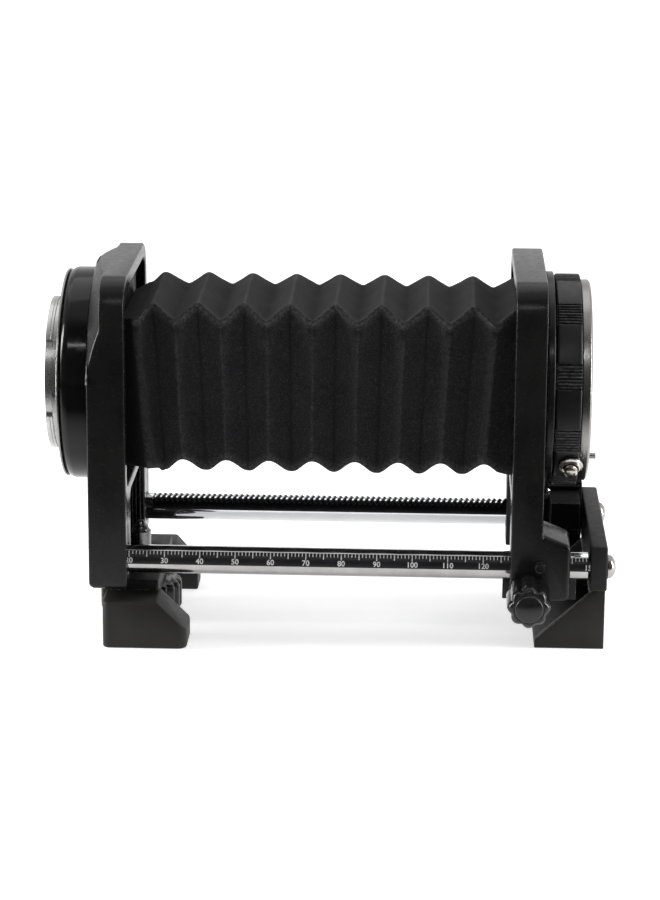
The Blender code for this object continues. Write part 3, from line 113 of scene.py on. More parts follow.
class Look:
    """A Principled material built up from procedural nodes; object coordinates are metres."""

    def __init__(self, name, roughness, metallic=0.0, specular=0.5):
        self.material = bpy.data.materials.new(name)
        self.material.use_nodes = True
        self.tree = self.material.node_tree
        self.shader = self.tree.nodes["Principled BSDF"]
        self.shader.inputs["Roughness"].default_value = roughness
        self.shader.inputs["Metallic"].default_value = metallic
        self.shader.inputs["Specular IOR Level"].default_value = specular
        self.coord = self.tree.nodes.new("ShaderNodeTexCoord")
        self.normal = None

    def link(self, source, node, socket):
        self.tree.links.new(source, node.inputs[socket])

    def noise(self, size_mm, detail=3.0, stretch=(1, 1, 1), roughness=0.55):
        """Noise whose features are about size_mm across, drawn out by stretch."""
        mapping = self.tree.nodes.new("ShaderNodeMapping")
        mapping.inputs["Scale"].default_value = stretch
        self.link(self.coord.outputs["Object"], mapping, "Vector")
        texture = self.tree.nodes.new("ShaderNodeTexNoise")
        texture.inputs["Scale"].default_value = 1.0 / (size_mm * MM)
        texture.inputs["Detail"].default_value = detail
        texture.inputs["Roughness"].default_value = roughness
        self.link(mapping.outputs["Vector"], texture, "Vector")
        return texture.outputs["Fac"]

    def attribute(self, name):
        node = self.tree.nodes.new("ShaderNodeAttribute")
        node.attribute_name = name
        return node.outputs["Fac"]

    def map_range(self, value, low, high, to_low, to_high):
        node = self.tree.nodes.new("ShaderNodeMapRange")
        for socket, level in zip(RANGE_SOCKETS, (low, high, to_low, to_high)):
            node.inputs[socket].default_value = level
        self.link(value, node, "Value")
        return node.outputs["Result"]

    def math(self, operation, first, second):
        node = self.tree.nodes.new("ShaderNodeMath")
        node.operation = operation
        for index, value in enumerate((first, second)):
            if isinstance(value, (int, float)):
                node.inputs[index].default_value = value
            else:
                self.tree.links.new(value, node.inputs[index])
        return node.outputs[0]

    def mix(self, factor, first, second):
        """Colour mix; first and second are colours or sockets."""
        node = self.tree.nodes.new("ShaderNodeMix")
        node.data_type = "RGBA"
        self.tree.links.new(factor, node.inputs[0])
        for index, value in ((6, first), (7, second)):
            if isinstance(value, tuple):
                node.inputs[index].default_value = (*value, 1.0)
            else:
                self.tree.links.new(value, node.inputs[index])
        return node.outputs[2]

    def edge(self, radius_mm):
        """1 on rounded or sharp edges, 0 on flats."""
        bevel = self.tree.nodes.new("ShaderNodeBevel")
        bevel.samples = 4
        bevel.inputs["Radius"].default_value = radius_mm * MM
        geometry = self.tree.nodes.new("ShaderNodeNewGeometry")
        dot = self.tree.nodes.new("ShaderNodeVectorMath")
        dot.operation = "DOT_PRODUCT"
        self.link(bevel.outputs["Normal"], dot, 0)
        self.link(geometry.outputs["Normal"], dot, 1)
        return self.map_range(dot.outputs["Value"], 0.995, 0.90, 0.0, 1.0)

    def bump(self, height, strength, distance_mm):
        node = self.tree.nodes.new("ShaderNodeBump")
        node.inputs["Strength"].default_value = strength
        node.inputs["Distance"].default_value = distance_mm * MM
        self.link(height, node, "Height")
        if self.normal is not None:
            self.link(self.normal, node, "Normal")
        self.normal = node.outputs["Normal"]
        self.link(self.normal, self.shader, "Normal")

    def color(self, socket):
        self.link(socket, self.shader, "Base Color")

    def rough(self, socket):
        self.link(socket, self.shader, "Roughness")


# Edge colour: partly paint rubbed thin, partly a painted highlight for glints on rounded edges.
PAINT_WEAR_AND_GLINT = (0.16, 0.16, 0.165)


def enamel(name, dark, light, roughness, grain_mm=0.20, grain=0.05, specular=0.35, wear_and_glint=PAINT_WEAR_AND_GLINT):
    """Sprayed black enamel: orange peel, faint cloudiness, and edges lightened partly as paint rubbed thin
    and partly as a painted highlight for the glints on rounded edges.
    """
    look = Look(name, roughness, specular=specular)
    cloud = look.map_range(look.noise(14.0), 0.35, 0.65, 0.0, 1.0)
    body = look.mix(cloud, dark, light)
    # Wear and painted highlight: edges are lightened towards the edge colour.
    rub_and_glint = look.math("MULTIPLY", look.edge(0.35), look.map_range(look.noise(1.1, 5.0), 0.38, 0.62, 0.0, 0.9))
    look.color(look.mix(rub_and_glint, body, wear_and_glint))
    look.rough(look.map_range(look.noise(2.2, 4.0), 0.3, 0.7, roughness - 0.05, roughness + 0.06))
    look.bump(look.noise(grain_mm, 2.0), grain, 0.02)
    return look.material


EVEN = (1.0, 1.0, 1.0)
DRAWN = (0.15, 1.0, 1.0)


def metal(name, color, roughness, grain_mm=0.5, stretch=EVEN, grain=0.08, spread=0.06, tint=0.75):
    """Plated or machined metal with fine marks drawn out along one direction."""
    look = Look(name, roughness, metallic=1.0)
    marks = look.noise(grain_mm, 5.0, stretch)
    stain = look.map_range(look.noise(5.0, 4.0), 0.3, 0.75, 0.0, 1.0)
    look.color(look.mix(stain, color, tuple(tint * c for c in color)))
    look.rough(look.map_range(marks, 0.3, 0.7, max(0.02, roughness - spread), roughness + spread))
    look.bump(marks, grain, 0.01)
    return look.material


def marks_paint():
    look = Look("scale_white_paint", 0.55)
    thin = look.map_range(look.noise(0.3), 0.35, 0.7, 0.0, 1.0)
    look.color(look.mix(thin, (0.78, 0.78, 0.76), (0.60, 0.60, 0.59)))
    look.bump(look.noise(0.15), 0.1, 0.01)
    return look.material


def bellows_cloth():
    """Black leathercloth: fine woven grain, worn grey along crests and corners, with painted shade darkening
    the folds, the top panel and the first bay.
    """
    look = Look("bellows_cloth", 0.85, specular=0.13)
    grain = look.noise(0.28, 4.0, roughness=0.7)
    cloud = look.map_range(look.noise(9.0, 3.0), 0.3, 0.7, 0.0, 1.0)
    body = look.mix(cloud, (0.0102, 0.0100, 0.0118), (0.0158, 0.0152, 0.0164))
    speck = look.map_range(grain, 0.52, 0.72, 0.0, 1.0)
    body = look.mix(speck, body, (0.070, 0.068, 0.070))
    pit = look.map_range(grain, 0.48, 0.34, 0.0, 0.8)
    body = look.mix(pit, body, (0.004, 0.004, 0.005))
    # Painted shade: the per-point shade attribute darkens the cloth towards near black.
    painted_shade = look.math("MULTIPLY", look.attribute("painted_shade"), 0.85)
    body = look.mix(painted_shade, body, (0.005, 0.005, 0.006))
    broken = look.map_range(look.noise(0.8, 4.0), 0.38, 0.66, 0.15, 1.0)
    worn = look.math("MULTIPLY", look.attribute("worn"), broken)
    look.color(look.mix(worn, body, (0.090, 0.086, 0.085)))
    look.rough(look.map_range(grain, 0.3, 0.7, 0.72, 0.95))
    look.bump(look.noise(3.5, 2.0), 0.35, 0.25)
    look.bump(grain, 0.55, 0.06)
    look.shader.inputs["Sheen Weight"].default_value = 0.06
    look.shader.inputs["Sheen Roughness"].default_value = 0.45
    return look.material


def knob_plastic():
    look = Look("moulded_black_plastic", 0.16, specular=0.5)
    cloud = look.map_range(look.noise(6.0), 0.3, 0.7, 0.0, 1.0)
    look.color(look.mix(cloud, (0.008, 0.008, 0.009), (0.014, 0.014, 0.015)))
    look.rough(look.map_range(look.noise(1.2, 5.0), 0.35, 0.7, 0.12, 0.28))
    look.bump(look.noise(0.9, 2.0), 0.05, 0.03)
    return look.material


# Edge colour raised so that the edges carry a painted highlight as well as wear.
ENAMEL = enamel(
    "gloss_black_enamel", (0.0066, 0.0063, 0.0062), (0.0112, 0.0107, 0.0104), 0.24,
    specular=0.25, wear_and_glint=(0.24, 0.24, 0.25),
)
COLLAR = enamel(
    "collar_enamel", (0.0022, 0.0022, 0.0025), (0.0045, 0.0045, 0.0050), 0.13,
    grain_mm=0.40, grain=0.22, specular=0.28,
)
# Edge colour raised so that the edges carry a painted highlight as well as wear.
SATIN = enamel(
    "satin_black_paint", (0.016, 0.0147, 0.0139), (0.023, 0.0214, 0.0203), 0.48,
    grain_mm=0.18, grain=0.14, specular=0.26, wear_and_glint=(0.30, 0.29, 0.28),
)
BAR_PAINT = enamel(
    "end_bar_paint", (0.0095, 0.0090, 0.0088), (0.0145, 0.0138, 0.0134), 0.52,
    grain_mm=0.18, grain=0.14, specular=0.30,
)
# Near-black dull paint used as painted shade on the pinion cover, the front standard's far block and the end
# bar's inner face.
PAINTED_SHADE = enamel(
    "painted_shade_black", (0.0030, 0.0028, 0.0030), (0.0050, 0.0046, 0.0048), 0.62,
    grain_mm=0.30, grain=0.10, specular=0.05,
)
GRIP = enamel(
    "black_anodised_grip", (0.0055, 0.0055, 0.0060), (0.0090, 0.0090, 0.0095), 0.38,
    grain_mm=0.3, grain=0.12, specular=0.4,
)
BAND = enamel(
    "black_scale_band", (0.010, 0.010, 0.012), (0.015, 0.015, 0.018), 0.36,
    grain_mm=0.3, grain=0.12, specular=0.35,
)
CHROME = metal("polished_chrome", (0.86, 0.87, 0.88), 0.07, 0.5, DRAWN, 0.03, 0.03, 0.92)
# Darker chrome for the rail's underside: a painted reflection of the shaded floor beneath.
CHROME_PAINTED_SHADE = metal("chrome_underside_painted_shade", (0.50, 0.49, 0.48), 0.14, 0.5, DRAWN, 0.05, 0.05, 0.80)
# Dark steel for the rack's gaps and far flanks: painted shade for the dark bellows they reflect.
RACK_PAINTED_SHADE = metal("rack_steel_painted_shade", (0.055, 0.055, 0.06), 0.34, 0.3, EVEN, 0.10, 0.08, 0.7)
FLANGE = metal("turned_flange_metal", (0.34, 0.333, 0.322), 0.30, 0.22, EVEN, 0.30, 0.10, 0.85)
BAYONET = metal("bayonet_metal", (0.58, 0.58, 0.575), 0.30, 0.35, (0.2, 1.0, 1.0), 0.10, 0.06, 0.80)
NICKEL = metal("nickel_plate", (0.66, 0.62, 0.56), 0.22, 0.5, EVEN, 0.05, 0.05, 0.85)
BLACK_NICKEL = metal("black_nickel", (0.26, 0.26, 0.265), 0.26, 0.5, EVEN, 0.05, 0.05, 0.80)
SCREW_PLATE = metal("screw_plate", (0.50, 0.48, 0.45), 0.17, 0.4, EVEN, 0.05, 0.05, 0.85)
STEEL = metal("plain_steel", (0.52, 0.52, 0.53), 0.28, 0.3, EVEN, 0.12, 0.08, 0.75)
BRASS = metal("cut_brass", (0.70, 0.52, 0.24), 0.28, 0.3, EVEN, 0.12, 0.06, 0.80)
MARKS = marks_paint()
CLOTH = bellows_cloth()
PLASTIC = knob_plastic()


# ---- Mesh helpers --------------------------------------------------------------------------------------


def mesh_piece(name, bm, matrix=Matrix.Identity(4)):
    mesh = bpy.data.meshes.new(name)
    bmesh.ops.recalc_face_normals(bm, faces=bm.faces)
    bm.to_mesh(mesh)
    bm.free()
    piece = bpy.data.objects.new(name, mesh)
    piece.matrix_world = matrix
    bpy.context.scene.collection.objects.link(piece)
    return piece


def along_x(x, y, z):
    """Local Z runs along world X, local X along world Y, local Y along world Z."""
    return Matrix.Translation((x, y, z)) @ Matrix(((0, 0, 1, 0), (1, 0, 0, 0), (0, 1, 0, 0), (0, 0, 0, 1)))


def along_minus_y(x, y, z):
    """Local Z runs along world -Y, local X along world X, local Y along world Z."""
    return Matrix.Translation((x, y, z)) @ Matrix.Rotation(math.pi / 2, 4, "X")


def along_z(x, y, z):
    return Matrix.Translation((x, y, z))


def arc(u, v, radius, start, end, steps):
    """Points on an arc about (u, v) between two angles in degrees, both included."""
    angles = [math.radians(start + (end - start) * i / steps) for i in range(steps + 1)]
    return [(u + radius * math.cos(a), v + radius * math.sin(a)) for a in angles]


def rounded(points, radius, steps=3):
    """A closed outline with each corner eased by a small curve."""
    eased = []
    count = len(points)
    for i in range(count):
        before, here, after = (Vector(points[(i + k) % count]) for k in (-1, 0, 1))
        to_before, to_after = before - here, after - here
        reach = min(radius, 0.45 * to_before.length, 0.45 * to_after.length)
        first = here + to_before.normalized() * reach
        last = here + to_after.normalized() * reach
        for step in range(steps + 1):
            t = step / steps
            eased.append(tuple((1 - t) ** 2 * first + 2 * t * (1 - t) * here + t * t * last))
    return eased


def in_mm(points):
    """Outline points written in millimetres, as metres."""
    return [(u * MM, v * MM) for u, v in points]


def round_rect(low_u, low_v, high_u, high_v, radius, steps=8):
    return (
        arc(high_u - radius, high_v - radius, radius, 0, 90, steps)
        + arc(low_u + radius, high_v - radius, radius, 90, 180, steps)
        + arc(low_u + radius, low_v + radius, radius, 180, 270, steps)
        + arc(high_u - radius, low_v + radius, radius, 270, 360, steps)
    )


def stitch(bm, first, second):
    """Faces between two rings of vertices of equal length."""
    faces = []
    for i in range(len(first)):
        j = (i + 1) % len(first)
        faces.append(bm.faces.new((first[i], first[j], second[j], second[i])))
    return faces


def lathe(name, matrix, profile, steps=96, closed=True):
    """Turns (radius, height) points about local Z; a closed profile makes a ring."""
    bm = bmesh.new()
    rings = []
    for radius, height in profile:
        if radius < 1e-7:
            rings.append([bm.verts.new((0.0, 0.0, height))])
            continue
        angles = [2 * math.pi * i / steps for i in range(steps)]
        rings.append([bm.verts.new((radius * math.cos(a), radius * math.sin(a), height)) for a in angles])
    pairs = list(zip(rings, rings[1:]))
    if closed:
        pairs.append((rings[-1], rings[0]))
    for first, second in pairs:
        for i in range(steps):
            j = (i + 1) % steps
            corners = [first[i % len(first)], first[j % len(first)]]
            corners += [second[j % len(second)], second[i % len(second)]]
            bm.faces.new(list(dict.fromkeys(corners)))
    return mesh_piece(name, bm, matrix)


def prism(name, matrix, outline, low, high):
    """A flat outline in local XY, drawn out along local Z."""
    bm = bmesh.new()
    bottom = [bm.verts.new((u, v, low)) for u, v in outline]
    top = [bm.verts.new((u, v, high)) for u, v in outline]
    bm.faces.new(bottom[::-1])
    bm.faces.new(top)
    stitch(bm, bottom, top)
    return mesh_piece(name, bm, matrix)


def rod(name, matrix, radius, low, high, steps=48):
    return prism(name, matrix, arc(0, 0, radius, 0, 360 - 360 / steps, steps - 1), low, high)


def block(name, low, high, radius=0.0, segments=3):
    """A box between two world corners with rounded edges."""
    low, high = Vector(low), Vector(high)
    bm = bmesh.new()
    bmesh.ops.create_cube(bm, size=1.0)
    bmesh.ops.scale(bm, vec=high - low, verts=bm.verts)
    piece = mesh_piece(name, bm, Matrix.Translation((low + high) / 2))
    if radius > 0.0:
        ease(piece, radius, segments)
        bake(piece)
    return piece


def ease(piece, width, segments=3, angle=32.0):
    """Rounds every edge sharper than angle."""
    bevel = piece.modifiers.new("ease", "BEVEL")
    bevel.width = width
    bevel.segments = segments
    bevel.limit_method = "ANGLE"
    bevel.angle_limit = math.radians(angle)
    bevel.use_clamp_overlap = False
    bevel.miter_outer = "MITER_ARC"


def bake(piece):
    """Replaces a piece's mesh by its evaluated mesh."""
    bpy.context.view_layer.update()
    evaluated = piece.evaluated_get(bpy.context.evaluated_depsgraph_get())
    mesh = bpy.data.meshes.new_from_object(evaluated)
    piece.modifiers.clear()
    piece.data = mesh
    return piece


def combine(piece, operation, others, width=0.0, segments=3, angle=32.0):
    """Bakes Booleans with the other shapes, which are used up, then rounds the edges."""
    for other in others:
        modifier = piece.modifiers.new("combine", "BOOLEAN")
        modifier.operation = operation
        modifier.solver = "EXACT"
        modifier.object = other
    bake(piece)
    for other in others:
        bpy.data.objects.remove(other, do_unlink=True)
    if width > 0.0:
        clean(piece)
        ease(piece, width, segments, angle)
        bake(piece)
    return piece


def clean(piece):
    bm = bmesh.new()
    bm.from_mesh(piece.data)
    bmesh.ops.remove_doubles(bm, verts=bm.verts, dist=0.00002)
    bmesh.ops.dissolve_limit(bm, angle_limit=math.radians(0.5), verts=bm.verts, edges=bm.edges)
    bm.to_mesh(piece.data)
    bm.free()


def carve(piece, *cutters, width=0.0, segments=3, angle=32.0):
    return combine(piece, "DIFFERENCE", cutters, width, segments, angle)


def finish(piece, body, material, *nodes, slot=None, sharp=35.0):
    """Material, shading and the CAD body and nodes that a finished piece belongs to."""
    if not piece.data.materials:
        piece.data.materials.append(material)
    piece.data.shade_smooth()
    piece.data.set_sharp_from_angle(angle=math.radians(sharp))
    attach(piece, body)
    if nodes:
        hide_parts(*nodes)
    return piece


# ---- Rails and scale -----------------------------------------------------------------------------------
BAND_LOW, BAND_HIGH = -6.0, 52.0
UNDER_LOW = 262.0
TICK_TOP, TICK_SHORT, TICK_MIDDLE, TICK_LONG = 51.0, 35.5, 25.5, 23.5
DIGIT_TOP = 21.0
DIGIT_HEIGHT = 1.5 * MM
RAIL_START, RAIL_END = 11.1, 149.8


def on_rail(x, elevation, radius):
    """A point on the front rail: elevation is 0 degrees at the operator's side and 90 at the top."""
    angle = math.radians(elevation)
    return (x, -RAIL_Y - radius * math.cos(angle), RAIL_Z + radius * math.sin(angle))


def scale_rod():
    """Chrome rail with a black band let into its side, and a darker underside as a painted reflection of the
    shaded floor below.
    """
    elevations = [BAND_LOW + (BAND_HIGH - BAND_LOW) * i / 12 for i in range(13)]
    elevations += [BAND_HIGH + (360 + BAND_LOW - BAND_HIGH) * i / 52 for i in range(1, 52)]
    stations = [
        (RAIL_START, RAIL_R - 0.5 * MM),
        (RAIL_START + 0.5, RAIL_R),
        (RAIL_END - 0.3, RAIL_R),
        (RAIL_END, RAIL_R - 0.3 * MM),
    ]
    bm = bmesh.new()
    rings = [[bm.verts.new(on_rail(at(x), e, r)) for e in elevations] for x, r in stations]
    for first, second in zip(rings, rings[1:]):
        for i, face in enumerate(stitch(bm, first, second)):
            # Painted shade: the underside faces take the darker chrome.
            under = elevations[i] > UNDER_LOW
            face.material_index = 1 if i < 12 else 2 if under else 0
    bm.faces.new(rings[0])
    bm.faces.new(rings[-1][::-1])
    piece = mesh_piece("chrome_scale_rod", bm)
    piece.data.materials.append(CHROME)
    piece.data.materials.append(BAND)
    piece.data.materials.append(CHROME_PAINTED_SHADE)
    finish(piece, ROOT, CHROME, "scale_rod", slot="chrome")


def scale_marks():
    """White millimetre ticks and numbers on the band, as thin raised paint."""
    bm = bmesh.new()
    for reading in range(20, 150):
        end = TICK_LONG if reading % 10 == 0 else TICK_MIDDLE if reading % 5 == 0 else TICK_SHORT
        tick(bm, at(reading), 0.12 * MM if reading % 5 else 0.14 * MM, end, TICK_TOP)
    for reading in range(20, 160, 10):
        number(bm, at(reading), str(reading))
    finish(mesh_piece("scale_marks", bm), ROOT, MARKS, slot="satin_silver")


def tick(bm, x, half_width, low, high, steps=5):
    """A thin curved strip from one elevation to another."""
    inner, outer = RAIL_R - 0.01 * MM, RAIL_R + 0.03 * MM
    sections = []
    for i in range(steps + 1):
        e = low + (high - low) * i / steps
        left, right = x - half_width, x + half_width
        corners = ((left, inner), (right, inner), (right, outer), (left, outer))
        sections.append([bm.verts.new(on_rail(u, e, r)) for u, r in corners])
    for first, second in zip(sections, sections[1:]):
        stitch(bm, first, second)
    bm.faces.new(sections[0])
    bm.faces.new(sections[-1][::-1])


def number(bm, x, text):
    """A number wrapped round the rail below its tick, cut across so that it can bend."""
    curve = bpy.data.curves.new("digits", "FONT")
    curve.body = text
    curve.size = DIGIT_HEIGHT / 0.70
    curve.align_x = "CENTER"
    curve.extrude = 0.02 * MM
    curve.offset = 0.035 * MM
    curve.resolution_u = 3
    guide = bpy.data.objects.new("digits", curve)
    bpy.context.scene.collection.objects.link(guide)
    bpy.context.view_layer.update()
    mesh = bpy.data.meshes.new_from_object(guide.evaluated_get(bpy.context.evaluated_depsgraph_get()))
    bpy.data.objects.remove(guide, do_unlink=True)
    glyphs = bmesh.new()
    glyphs.from_mesh(mesh)
    bpy.data.meshes.remove(mesh)
    for i in range(1, 6):
        geometry = glyphs.verts[:] + glyphs.edges[:] + glyphs.faces[:]
        level = (0.0, DIGIT_HEIGHT * i / 6, 0.0)
        bmesh.ops.bisect_plane(glyphs, geom=geometry, plane_co=level, plane_no=(0, 1, 0))
    bmesh.ops.remove_doubles(glyphs, verts=glyphs.verts, dist=0.000002)
    copies = {}
    for vert in glyphs.verts:
        elevation = DIGIT_TOP - math.degrees((DIGIT_HEIGHT - vert.co.y) / RAIL_R)
        copies[vert] = bm.verts.new(on_rail(x + vert.co.x, elevation, RAIL_R + 0.01 * MM + vert.co.z))
    for face in glyphs.faces:
        bm.faces.new([copies[vert] for vert in face.verts])
    glyphs.free()


RACK_TIP, RACK_ROOT = 3.72 * MM, 2.35 * MM
TOOTH_PITCH = math.pi * 0.526 * MM
TOOTH_SLANT = 0.30
RACK_FIRST, RACK_LAST = 21.5, 148.2
PINION_X = middle("focus_shaft").x


def rack_rod():
    """Chrome rail with slanted rack teeth milled into its top; the milled faces are dark steel as painted
    shade and reflection of the black bellows, and only the teeth's tips stay chrome.
    """
    per_tooth = 12
    across = [math.degrees(math.asin(-1 + 2 * i / 17)) for i in range(1, 17)]
    elevations = [90 + a for a in across] + [170 + (200 * i / 27) for i in range(28)]
    step = TOOTH_PITCH / per_tooth
    first = math.ceil((at(RACK_FIRST) - PINION_X) / step)
    last = math.floor((at(RACK_LAST) - PINION_X) / step)
    places = [at(RAIL_START), at(RAIL_START) + 0.5 * MM]
    places += [PINION_X + i * step for i in range(first, last + 1)]
    places += [at(RAIL_END) - 0.3 * MM, at(RAIL_END)]
    bm = bmesh.new()
    rings = []
    for index, x in enumerate(places):
        radius = RAIL_R - (0.4 * MM if index in (0, len(places) - 1) else 0.0)
        toothed = 2 < index < len(places) - 3
        ring = []
        for e in elevations:
            y = radius * math.cos(math.radians(e))
            z = radius * math.sin(math.radians(e))
            if toothed:
                z = min(z, tooth_height(x - TOOTH_SLANT * y))
            ring.append(bm.verts.new((x, RAIL_Y + y, RAIL_Z + z)))
        rings.append(ring)
    for index, (first_ring, second_ring) in enumerate(zip(rings, rings[1:])):
        for i, face in enumerate(stitch(bm, first_ring, second_ring)):
            milled = 2 < index < len(places) - 4 and i < len(across) + 1
            centre = face.calc_center_median()
            far = centre.y > RAIL_Y + 0.9 * MM
            cut = centre.z < RAIL_Z + RACK_TIP - 0.22 * MM
            # Painted shade: gaps and far flanks of the teeth take the dark steel.
            face.material_index = 1 if milled and (far or cut) else 0
    bm.faces.new(rings[0])
    bm.faces.new(rings[-1][::-1])
    piece = mesh_piece("chrome_rack_rod", bm)
    piece.data.materials.append(CHROME)
    piece.data.materials.append(RACK_PAINTED_SHADE)
    finish(piece, ROOT, CHROME, "rack_rod", slot="chrome")


def tooth_height(x):
    """Height of the rack's surface above the rail's axis; a gap is centred on the pinion's place."""
    phase = abs(((x - PINION_X) / TOOTH_PITCH + 0.5) % 1.0 - 0.5) * 2
    rise = min(1.0, max(0.0, (phase - 0.26) / 0.38))
    return RACK_ROOT + (RACK_TIP - RACK_ROOT) * rise


def rod_end_screw(name, side, node):
    """Domed screw with a thin rim and a plain shank."""
    dome = [(0.0, 2.5 * MM)] + [
        (3.4 * MM * math.sin(math.radians(a)), 0.35 * MM + 2.15 * MM * math.cos(math.radians(a)))
        for a in range(12, 91, 13)
    ]
    profile = dome + in_mm([(3.5, 0.1), (3.3, 0.0), (1.5, 0.0), (1.5, -12.0), (0.0, -12.0)])
    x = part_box("end_bar")[1].x + 0.15 * MM
    piece = lathe(name, along_x(x, side * RAIL_Y, RAIL_Z), profile, 48, closed=False)
    finish(piece, ROOT, SCREW_PLATE, node, slot="chrome")


# ---- Standards -----------------------------------------------------------------------------------------
TOP = REAR_HIGH.z
CORNER_R = 10.0 * MM


def standard_outline(bottom):
    half, big, small = HALF, CORNER_R, 2.2 * MM
    return (
        arc(half - big, TOP - big, big, 0, 90, 12)
        + arc(-half + big, TOP - big, big, 90, 180, 12)
        + arc(-half + small, bottom + small, small, 180, 270, 4)
        + arc(half - small, bottom + small, small, 270, 360, 4)
    )


def rail_bores(x_low, x_high):
    return [rod("bore", along_x(0, side * RAIL_Y, RAIL_Z), 4.3 * MM, x_low, x_high, 48) for side in (-1, 1)]


def rear_standard():
    face, back = REAR_HIGH.x, REAR_LOW.x
    body = prism("rear_standard_casting", along_x(0, 0, 0), standard_outline(REAR_LOW.z), back, face)
    plate = at(REAR_PLATE_BACK)
    shoulder = block(
        "shoulder", (back - 4 * MM, -HALF - MM, OPTIC_Z + 3 * MM), (plate, HALF + MM, TOP + MM)
    )
    boss = lathe(
        "boss",
        along_x(back, 0, OPTIC_Z),
        [(0.0, 4.7 * MM), (39.5 * MM, 4.7 * MM), (33.2 * MM, 0.0), (0.0, 0.0)],
        96,
        closed=False,
    )
    carve(shoulder, boss)
    pocket = prism("pocket", along_x(0, 0, 0), pocket_outline(), face - 4 * MM, face + 2 * MM)
    lower_outline = round_rect(-20.0 * MM, REAR_LOW.z - 8 * MM, 20.0 * MM, rail(18.0), 3.0 * MM)
    lower = prism("lower", along_x(0, 0, 0), lower_outline, face - 5.0 * MM, face + 2 * MM)
    ease(lower, 1.8 * MM, 4)
    bake(lower)
    throat = rod("throat", along_x(0, 0, OPTIC_Z), 20.0 * MM, back - 2 * MM, face + 2 * MM, 96)
    bores = rail_bores(at(RAIL_START) - 0.3 * MM, face + 2 * MM)
    heel_u, heel_v, r = back + 2 * MM, REAR_LOW.z + 2 * MM, 2 * MM
    out_u, out_v = heel_u - r - MM, heel_v - r - MM
    heel_outline = [(out_u, heel_v), (out_u, out_v), (heel_u, out_v)] + arc(heel_u, heel_v, r, 270, 180, 8)
    heel = prism("heel", along_minus_y(0, 0, 0), heel_outline, -40 * MM, 40 * MM)
    carve(body, shoulder, pocket, lower, throat, heel, *bores, width=0.55 * MM)
    ribs = []
    for i in range(3):
        x = face - (1.5 + 1.15 * i) * MM
        low, high = (x - 0.3 * MM, 19.0 * MM, REAR_LOW.z + MM), (x + 0.3 * MM, 20.8 * MM, rail(17.0))
        ribs.append(block("rib", low, high, 0.2 * MM))
    combine(body, "UNION", ribs)
    finish(body, ROOT, ENAMEL, "rear_standard", slot="gloss_black")


def pocket_outline():
    return round_rect(-28.5 * MM, rail(21.0), 28.5 * MM, rail(76.7), 4.0 * MM)


def front_standard():
    face, back = FRONT_LOW.x, at(FRONT_PLATE_BACK)
    bottom = FRONT_LOW.z
    body = prism("front_standard_casting", along_x(0, 0, 0), standard_outline(bottom), face, back)
    inner, arch_half = 16.0 * MM, 20.4 * MM
    root_x = back - 2 * MM
    near_end, far_end = at(NEAR_BLOCK_END), FRONT_HIGH.x
    near_outline = (
        [(root_x, rail(11.6)), (root_x, bottom)]
        + arc(near_end - 2 * MM, bottom + 2 * MM, 2 * MM, 270, 360, 5)
        + [(near_end, rail(7.5))]
    )
    far_outline = [
        (root_x, rail(12.6)),
        (root_x, bottom),
        (far_end - 4 * MM, bottom),
        (far_end, bottom + 3.8 * MM),
        (far_end, rail(12.6)),
    ]
    near = prism("near", along_minus_y(0, 0, 0), near_outline, inner, HALF)
    ease(near, 1.3 * MM, 6)
    bake(near)
    far = prism("far", along_minus_y(0, 0, 0), far_outline, -HALF, -inner)
    combine(body, "UNION", (near, far))
    pocket = prism("pocket", along_x(0, 0, 0), pocket_outline(), face - 2 * MM, face + 4 * MM)
    arch_outline = round_rect(-arch_half, bottom - 8 * MM, arch_half, rail(18.0), 2.5 * MM)
    arch = prism("arch", along_x(0, 0, 0), arch_outline, face - 2 * MM, back + 0.5 * MM)
    throat = rod("throat", along_x(0, 0, OPTIC_Z), 24.0 * MM, face - 2 * MM, back + 2 * MM, 96)
    bores = rail_bores(face - 2 * MM, far_end + 3 * MM)
    carve(body, pocket, arch, throat, *bores, width=0.5 * MM)
    slit = block(
        "slit",
        (face - 2 * MM, -RAIL_Y - 0.5 * MM, bottom - MM),
        (near_end + 2 * MM, -RAIL_Y + 0.5 * MM, rail(-2.0)),
    )
    lock = middle("lock_screw")
    clamp = rod("clamp", along_minus_y(lock.x, 0, lock.z), 1.7 * MM, 19 * MM, 35 * MM)
    gib_place = middle("gib_screw")
    gib = rod("gib", along_minus_y(gib_place.x, 0, gib_place.z), 1.3 * MM, 29 * MM, 35 * MM)
    shaft = middle("focus_shaft")
    bay = block("bay", (shaft.x - 4.2 * MM, 0.0, rail(2.6)), (shaft.x + 4.2 * MM, 30 * MM, rail(10.6)))
    shaft_hole = rod("shaft_hole", along_minus_y(shaft.x, 0, shaft.z), 1.8 * MM, -36 * MM, -15 * MM)
    cover = middle("pinion_cover_screw")
    cover_hole = rod("cover_hole", along_minus_y(cover.x, 0, cover.z), 0.8 * MM, -22 * MM, -MM)
    carve(body, slit, clamp, gib, bay, shaft_hole, cover_hole)
    body.data.materials.append(ENAMEL)
    body.data.materials.append(PAINTED_SHADE)
    # Painted shade: the far block's faces behind the plate take the dull black.
    for polygon in body.data.polygons:
        place = body.matrix_world @ polygon.center
        polygon.material_index = 1 if place.x > back + 0.2 * MM and place.y > -inner else 0
    finish(body, CARRIAGE, ENAMEL, "front_standard", slot="gloss_black")


